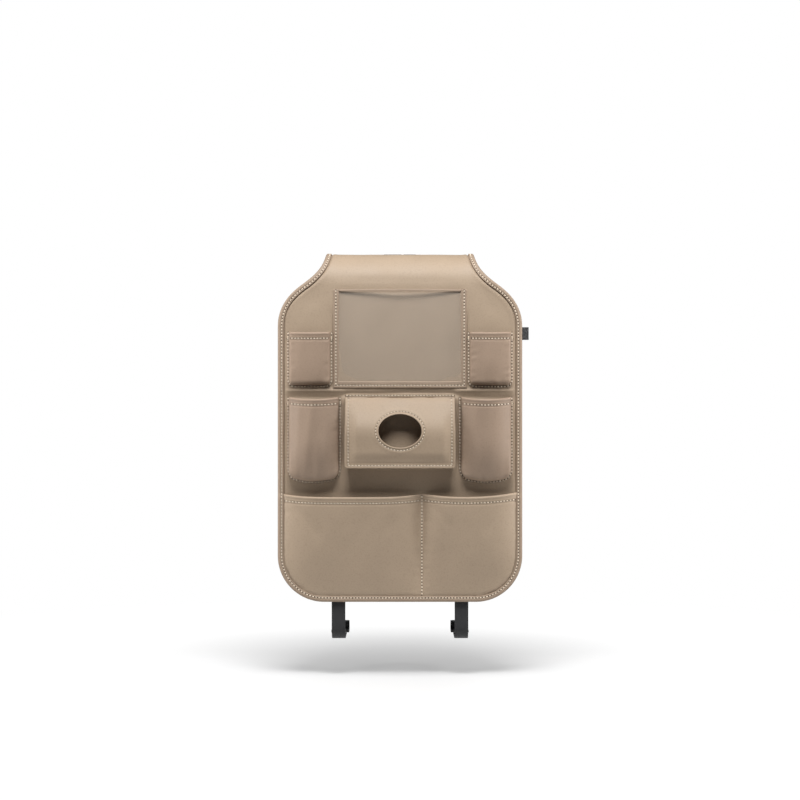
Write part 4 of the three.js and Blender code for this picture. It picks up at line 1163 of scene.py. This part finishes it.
lid_side = np.linspace(LID_LOW + LID_FOOT_STITCH, LID_LOW + LID_TALL - 9, 40)
lid_rows = [
    np.c_[np.linspace(1 - LID_HALF, LID_HALF - 1, 60), np.full(60, LID_LOW + LID_TALL - LID_TOP_STITCH)],
    np.c_[np.full(40, LID_HALF - LID_SIDE_STITCH), lid_side],
    np.c_[np.full(40, LID_SIDE_STITCH - LID_HALF), lid_side],
    np.c_[np.linspace(6 - LID_HALF, LID_HALF - 6, 60), np.full(60, LID_LOW + LID_FOOT_STITCH)],
]
turn = np.linspace(0, 2 * math.pi, 90, endpoint=False)
ring = np.c_[(OVAL[0] + OVAL_STITCH) * np.cos(turn), OVAL_MIDDLE + (OVAL[1] + OVAL_STITCH) * np.sin(turn)]
sewn("stitches_of_wipes_pocket", [(row, lid_face) for row in [*lid_rows, ring]], closed=(4,))

# the gusset's foot lies in from the lid's edge, so that the lid hides its flange
WIPES_SLANT = -4
WALL_TOP = LID_LOW + 99
walled = lid_rim(2.2)
from_top = np.abs(walled[:, 0]) + np.abs(walled[:, 1] - LID_LOW - LID_TALL)
walled = np.roll(walled, -int(np.argmin(from_top)), axis=0)
walled = walled[walled[:, 1] < WALL_TOP]
outward = directions(walled)[:, ::-1] * (1, -1)
sections = []
for (a, b), (da, db) in zip(walled, outward):
    top = float(lid_depth(b)) - 3.6
    profile = np.array(
        [
            (WIPES_SLANT + FLANGE - 0.2, 0.0),
            (WIPES_SLANT + FLANGE, 0.5),
            (WIPES_SLANT + FLANGE - 0.5, 1.15),
            (WIPES_SLANT + 0.8, 1.3),
            (WIPES_SLANT + 0.2, 2.0),
            (WIPES_SLANT * 0.6, top * 0.4),
            (WIPES_SLANT * 0.25, top * 0.75),
            (-0.3, top - 0.8),
            (-0.8, top - 0.2),
            (-1.8, top),
            (-6, top),
            (-6, top - GUSSET_SHEET),
            (-2.2, top - GUSSET_SHEET),
            (WIPES_SLANT * 0.25 - GUSSET_SHEET, top * 0.7),
            (WIPES_SLANT * 0.6 - GUSSET_SHEET, top * 0.36),
            (WIPES_SLANT - GUSSET_SHEET, 0.0),
        ]
    )
    out, height = profile.T
    sections.append(on_panel(a + da * out, b + db * out, PANEL_FRONT + height))
wipes_gusset = swept("wipes_pocket_gusset_strip", np.array(sections), sharp=60)
fitted(wipes_gusset, trim_leatherette, "leatherette_trim", "wipes_pocket_gusset")


def closure_tape(name, colour, size):
    """Hook-and-loop tape: woven nylon, with a pile or hooks about size mm apart."""
    material, tree, shader, place = new_material(name)
    pile = node(tree, "ShaderNodeTexVoronoi", {"Vector": place, "Scale": 1000 / size})
    lift = node(
        tree,
        "ShaderNodeBump",
        {"Height": pile.outputs["Distance"], "Distance": 0.0006, "Strength": 0.9},
        invert=True,
    )
    tree.links.new(lift.outputs[0], shader.inputs["Normal"])
    shader.inputs["Base Color"].default_value = linear(colour)
    shader.inputs["Roughness"].default_value = 0.8
    return material


TAPE_HALF = 70
TAPE_FOOT = LID_LOW + 0.5
TAPE_TOP = LID_LOW + 6.5
TAPE_THICK = 1.2
tape_low = PANEL_FRONT + WIPES_DEPTH - 2.4
for name, cad, low, colour, size in (
    ("hook_tape", "wipes_hook_tape", tape_low, "#17171a", 1.5),
    ("loop_tape", "wipes_loop_tape", tape_low + TAPE_THICK, "#1d1d20", 0.9),
):
    u, v = np.meshgrid(rimmed(-TAPE_HALF, TAPE_HALF, 3.0, 0.8), rimmed(TAPE_FOOT, TAPE_TOP, 0.8, 0.8))
    away = np.minimum(TAPE_HALF - np.abs(u), np.minimum(v - TAPE_FOOT, TAPE_TOP - v))
    middle = low + TAPE_THICK / 2
    part = TAPE_THICK / 2 * thickness(away, TAPE_THICK)
    tape = shell(name, on_panel(u, v, middle + part), on_panel(u, v, middle - part))
    fitted(tape, closure_tape(name + "_nylon", colour, size), "ribbon", cad)


# Label tab: a bare woven ribbon, folded double and caught in the side seam below the right shoulder.
LABEL_TOP = 538.5
LABEL_HEIGHT = 25
LABEL_REACH = 12.5
LABEL_FOLD = 0.35


def woven(name, colour, light, across, along, gloss=0.6):
    """Woven nylon: warp ribs across mm apart over the width and weft picks along mm apart, from the UVs."""
    material, tree, shader, _ = new_material(name)
    place = node(tree, "ShaderNodeUVMap", uv_map="across_and_along").outputs[0]
    apart = node(tree, "ShaderNodeSeparateXYZ", {0: place})
    waves = []
    for way, spacing in enumerate((across, along)):
        turns = node(
            tree, "ShaderNodeMath", {0: apart.outputs[way], 1: 2 * math.pi / spacing}, operation="MULTIPLY"
        )
        waves.append(node(tree, "ShaderNodeMath", {0: turns.outputs[0]}, operation="SINE").outputs[0])
    weave = node(tree, "ShaderNodeMath", {0: waves[0], 1: waves[1]}, operation="MULTIPLY")
    height = node(tree, "ShaderNodeMapRange", {"Value": weave.outputs[0], "From Min": -1.0, "From Max": 1.0})
    shade = node(
        tree,
        "ShaderNodeMix",
        {"Factor": height.outputs[0], "A": linear(colour), "B": linear(light)},
        data_type="RGBA",
    )
    lift = node(tree, "ShaderNodeBump", {"Height": height.outputs[0], "Distance": 0.0004, "Strength": 0.8})
    tree.links.new(shade.outputs["Result"], shader.inputs["Base Color"])
    tree.links.new(lift.outputs[0], shader.inputs["Normal"])
    shader.inputs["Roughness"].default_value = gloss
    shader.inputs["Sheen Weight"].default_value = 0.2
    return material


def strap(name, middles, across, through, half_width, half_thick):
    """A woven strap with rounded edges through middle points (mm), with its width and thickness ways."""
    edge = [(1, 0), (0.985, 0.6), (0.94, 1), (0.5, 1.04)]
    upper = np.array([*edge, (0, 1), *((-x, y) for x, y in edge[:0:-1])])
    shape = np.vstack([upper, -upper]) * (half_width, half_thick)
    wide, thick = shape[None, :, :1] * across[:, None], shape[None, :, 1:] * through[:, None]
    points = middles[:, None] + wide + thick
    uv = np.stack(np.broadcast_arrays(shape[None, :, 0], lengths(middles)[:, None]), axis=-1)
    return swept(name, points / 1000, sharp=80, uv=uv.reshape(-1, 2))


ribbon = woven("black_satin_ribbon", "#0f0f11", "#232326", 1.2, 1.0, 0.5)
fold_turn = np.linspace(-math.pi / 2, math.pi / 2, 9)
start = PANEL_HALF + BINDING_REACH - 2
end = PANEL_HALF + BINDING_REACH + LABEL_REACH - LABEL_FOLD
fold = [(end + LABEL_FOLD * math.cos(a), LABEL_FOLD * math.sin(a)) for a in fold_turn]
path = np.array([(start, -LABEL_FOLD), *fold, (start, LABEL_FOLD)])
label_middle = LABEL_TOP - LABEL_HEIGHT / 2 - BEND_START / 2
middles = np.c_[path - (0, PANEL_FRONT / 2), np.full(len(path), label_middle)]
up = np.tile([0.0, 0.0, 1.0], (len(path), 1))
through = np.cross(directions(middles), up)
label = strap("ribbon_label_tab", middles, up, through, LABEL_HEIGHT / 2, 0.28)
fitted(label, ribbon, "ribbon", "label_tab")


# Lower straps: black ribbed elastic, sewn behind the panel's foot. They run down past the edge and back to a
# moulded acetal hook, round whose bar each strap is turned and sewn.
STRAP_X = 121
STRAP_HALF = 13.5
STRAP_THICK = 1.6
STRAP_DROP = 46
STRAP_BEND = 30
STRAP_RUN = 78
TAIL = 24
BAR_TURN = 3.1
POINTS_PER_MM = 0.7

elastic = woven("black_ribbed_elastic", "#131315", "#2b2b2e", 1.6, 2.6, 0.75)


def moulded_acetal():
    """Acetal is moulded with a fine spark-eroded texture and keeps a low waxy gloss."""
    material, tree, shader, place = new_material("black_moulded_acetal")
    spark = node(tree, "ShaderNodeTexNoise", {"Vector": place, "Scale": 1000 / 0.6, "Detail": 3.0})
    rub = node(tree, "ShaderNodeTexNoise", {"Vector": place, "Scale": 1000 / 9, "Detail": 2.0})
    gloss = node(
        tree,
        "ShaderNodeMapRange",
        {"Value": rub.outputs["Fac"], "From Min": 0.3, "From Max": 0.7, "To Min": 0.32, "To Max": 0.46},
    )
    texture = node(
        tree, "ShaderNodeBump", {"Height": spark.outputs["Fac"], "Distance": 0.00006, "Strength": 0.5}
    )
    tree.links.new(gloss.outputs[0], shader.inputs["Roughness"])
    tree.links.new(texture.outputs[0], shader.inputs["Normal"])
    shader.inputs["Base Color"].default_value = linear("#161618")
    return material


acetal = moulded_acetal()


def moulded(node_name, radius=0.5):
    """A CAD moulding keeps its shape, and gets its plastic and softened edges."""
    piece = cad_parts[node_name]
    piece.data.materials.clear()
    piece.data.materials.append(acetal)
    soft = piece.modifiers.new("softened_edges", "BEVEL")
    soft.width = radius / 1000
    soft.segments = 2
    soft.limit_method = "ANGLE"
    soft.angle_limit = math.radians(35)


quarter = np.linspace(0, math.pi / 2, 14)
on_binding = 2.0
foot = -STRAP_DROP - STRAP_BEND
bar_y = on_binding + STRAP_BEND + STRAP_RUN
round_bar = np.linspace(-math.pi / 2, math.pi / 2, 10)
lower_path = [(0.8, 48), (0.8, 18), (1.1, 14), (1.8, 11), (on_binding, 9)]
lower_path += [
    (on_binding + STRAP_BEND * (1 - math.cos(a)), -STRAP_DROP - STRAP_BEND * math.sin(a)) for a in quarter
]
lower_path += [(bar_y + BAR_TURN * math.cos(a), foot + BAR_TURN + BAR_TURN * math.sin(a)) for a in round_bar]
lower_path += [(bar_y - 4, foot + 2 * BAR_TURN - 1.6), (bar_y - 9, foot + 2.0), (bar_y - TAIL, foot + 1.9)]
run = lengths(np.array(lower_path))
even = np.linspace(0, run[-1], round(run[-1] * POINTS_PER_MM))
flat_path = np.c_[[np.interp(even, run, way) for way in zip(*lower_path)]].T
for side, name in ((-1, "left"), (1, "right")):
    middles = np.c_[np.full(len(flat_path), side * STRAP_X), flat_path - (0, BEND_START / 2)]
    across = np.tile([1.0, 0.0, 0.0], (len(middles), 1))
    through = np.cross(directions(middles), across)
    lower = strap("elastic_strap_" + name, middles, across, through, STRAP_HALF, STRAP_THICK / 2)
    fitted(lower, elastic, "webbing", "lower_strap_" + name)
    moulded("lower_hook_" + name)


# Upper strap: two lengths of black nylon webbing, sewn flat under the flap, each with a quarter turn that
# sets it on edge, and joined by a side-release buckle of moulded acetal.
TOP_X = 78
TOP_HALF = 12.5
FLAP_END = BEND_RADIUS + FLAP_LENGTH
TWIST = 46
TOP_BEND = 28
BUCKLE_BAR = 33
strap_height = BEND_START / 2 + BEND_RADIUS - 2.0
buckle_y = FLAP_END + TWIST + TOP_BEND
webbing = woven("black_nylon_webbing", "#111113", "#29292c", 2.0, 1.8, 0.6)


def upper_strap(side):
    """Middle points, width ways and thickness ways of one upper strap, from the flap to its tail."""
    spots, wides, thicks = [], [], []

    def add(x, y, z, wide, thick):
        spots.append((x, y, z))
        wides.append(wide)
        thicks.append(thick)

    for y, z in ((88, 1.2), (100, 1.2), (112, 1.2), (116, 1.0), (121, 0.2), (124, 0), (130, 0), (138, 0)):
        add(-TOP_X, y, strap_height + z, (1, 0, 0), (0, 0, 1))
    for share in np.linspace(0, 1, 15)[1:]:
        turn = (share - math.sin(2 * math.pi * share) / (4 * math.pi)) * math.pi / 2
        cos, sin = math.cos(turn), math.sin(turn)
        add(-TOP_X, FLAP_END + 4 + (TWIST - 4) * share, strap_height, (cos, 0, -sin), (sin, 0, cos))

    def edge(x, y, angle):
        add(x, y, strap_height, (0, 0, -1), (math.cos(angle), -math.sin(angle), 0))

    for a in quarter[1:]:
        edge(-TOP_X + TOP_BEND * (1 - math.cos(a)), buckle_y - TOP_BEND * (1 - math.sin(a)), a)
    for a in np.linspace(math.pi / 2, 3 * math.pi / 2, 12):
        edge(-BUCKLE_BAR - BAR_TURN * math.cos(a), buckle_y - BAR_TURN + BAR_TURN * math.sin(a), a)
    edge(-BUCKLE_BAR - 9, buckle_y - 3.0, 3 * math.pi / 2)
    edge(-BUCKLE_BAR - TAIL, buckle_y - 1.9, 3 * math.pi / 2)
    mirror = np.array([-side, 1, 1])
    return [np.array(part, float) * mirror for part in (spots, wides, thicks)]


for side, name in ((-1, "left"), (1, "right")):
    middles, across, through = upper_strap(side)
    upper = strap("webbing_strap_" + name, middles, across, through, TOP_HALF, STRAP_THICK / 2)
    fitted(upper, webbing, "webbing", "headrest_strap_" + name)
moulded("buckle_socket")
moulded("buckle_plug", 0.35)


# Studio: the organizer hangs over a plain pale floor, and the camera looks straight at its panel. A broad
# soft light from above and in front shades the pockets, one over it brightens the neck, a narrow one at each
# side grazes the pockets' outer flanks, and one behind shows the lining.
IMAGE_MM = 1.967
LENS = 85
SENSOR = 36
CAMERA_HEIGHT = 0.0854
IMAGE_PIXELS = 800
FLOOR_LOW = -0.46
FLOOR_HALF = 20
distance = IMAGE_PIXELS * IMAGE_MM / 1000 * LENS / SENSOR


def area_light(name, place, target, size, power):
    """A white soft box at a place, turned to a target, with its size in metres and its power in watts."""
    lamp = bpy.data.lights.new(name, "AREA")
    lamp.shape = "RECTANGLE"
    lamp.size, lamp.size_y = size
    lamp.energy = power
    holder = bpy.data.objects.new(name, lamp)
    bpy.context.scene.collection.objects.link(holder)
    holder.location = place
    holder.rotation_euler = (Vector(target) - Vector(place)).to_track_quat("-Z", "Y").to_euler()
    holder.visible_camera = False


area_light("key_light", (0, -1.42, 2.25), (0, 0, 0), (1.3, 0.8), 69)
area_light("top_light", (0, -0.5, 1.15), (0, 0.02, 0.27), (1.1, 0.4), 4.8)
area_light("left_light", (-0.62, -0.1, 0.06), (-0.1, 0, 0), (0.1, 0.8), 2.2)
area_light("right_light", (0.62, -0.1, 0.06), (0.1, 0, 0), (0.1, 0.8), 2.2)
area_light("rear_light", (0.5, 2.4, 0.6), (0, 0, 0), (1.6, 1.0), 12)

# The world looks white to the camera, and lights the object with much less than that.
world = bpy.data.worlds.new("pale_studio")
bpy.context.scene.world = world
world.use_nodes = True
sky = world.node_tree
sky.nodes["Background"].inputs["Color"].default_value = linear("#ffffff")
seen = node(sky, "ShaderNodeLightPath").outputs["Is Camera Ray"]
strength = node(sky, "ShaderNodeMapRange", {"Value": seen, "To Min": 0.1, "To Max": 1.0})
sky.links.new(strength.outputs[0], sky.nodes["Background"].inputs["Strength"])

# The floor is pale paper, which turns into the same white far out, so that no horizon shows.
floor_mesh = bpy.data.meshes.new("studio_floor")
corners = [(x * FLOOR_HALF, y * FLOOR_HALF, FLOOR_LOW) for x, y in ((-1, -1), (1, -1), (1, 1), (-1, 1))]
floor_mesh.from_pydata(corners, [], [(0, 1, 2, 3)])
floor = bpy.data.objects.new("studio_floor", floor_mesh)
bpy.context.scene.collection.objects.link(floor)
paper, paper_tree, paper_shader, spot_on_floor = new_material("pale_paper")
away = node(paper_tree, "ShaderNodeVectorMath", {0: spot_on_floor}, operation="LENGTH").outputs["Value"]
near_by = node(
    paper_tree,
    "ShaderNodeMapRange",
    {"Value": away, "From Min": 0.45, "From Max": 1.55, "To Min": 1.0, "To Max": 0.0},
    interpolation_type="SMOOTHSTEP",
)
far_off = node(
    paper_tree,
    "ShaderNodeMapRange",
    {"Value": away, "From Min": 0.1, "From Max": 1.3, "To Min": 0.0, "To Max": 1.0},
    interpolation_type="SMOOTHSTEP",
)
seen = node(paper_tree, "ShaderNodeLightPath").outputs["Is Camera Ray"]
whiteness = node(paper_tree, "ShaderNodeMapRange", {"Value": seen, "To Min": 0.72, "To Max": 0.58})
bright = node(
    paper_tree, "ShaderNodeMath", {0: near_by.outputs[0], 1: whiteness.outputs[0]}, operation="MULTIPLY"
)
shade = node(
    paper_tree,
    "ShaderNodeMix",
    {"Factor": bright.outputs[0], "A": linear("#000000"), "B": linear("#ffffff")},
    data_type="RGBA",
)
shown = node(paper_tree, "ShaderNodeMath", {0: far_off.outputs[0], 1: seen}, operation="MULTIPLY")
paper_tree.links.new(shade.outputs["Result"], paper_shader.inputs["Base Color"])
paper_tree.links.new(shown.outputs[0], paper_shader.inputs["Emission Strength"])
paper_shader.inputs["Emission Color"].default_value = linear("#ffffff")
paper_shader.inputs["Roughness"].default_value = 0.9
paper_shader.inputs["Specular IOR Level"].default_value = 0.0
floor.data.materials.append(paper)

camera_data = bpy.data.cameras.new("front_camera")
camera_data.lens = LENS
camera_data.sensor_width = SENSOR
camera_data.clip_end = 60
camera = bpy.data.objects.new("front_camera", camera_data)
camera.location = (0, -distance, CAMERA_HEIGHT)
camera.rotation_euler = (math.pi / 2, 0, 0)
bpy.context.scene.collection.objects.link(camera)
bpy.context.scene.camera = camera
bpy.context.scene.view_settings.view_transform = "Standard"
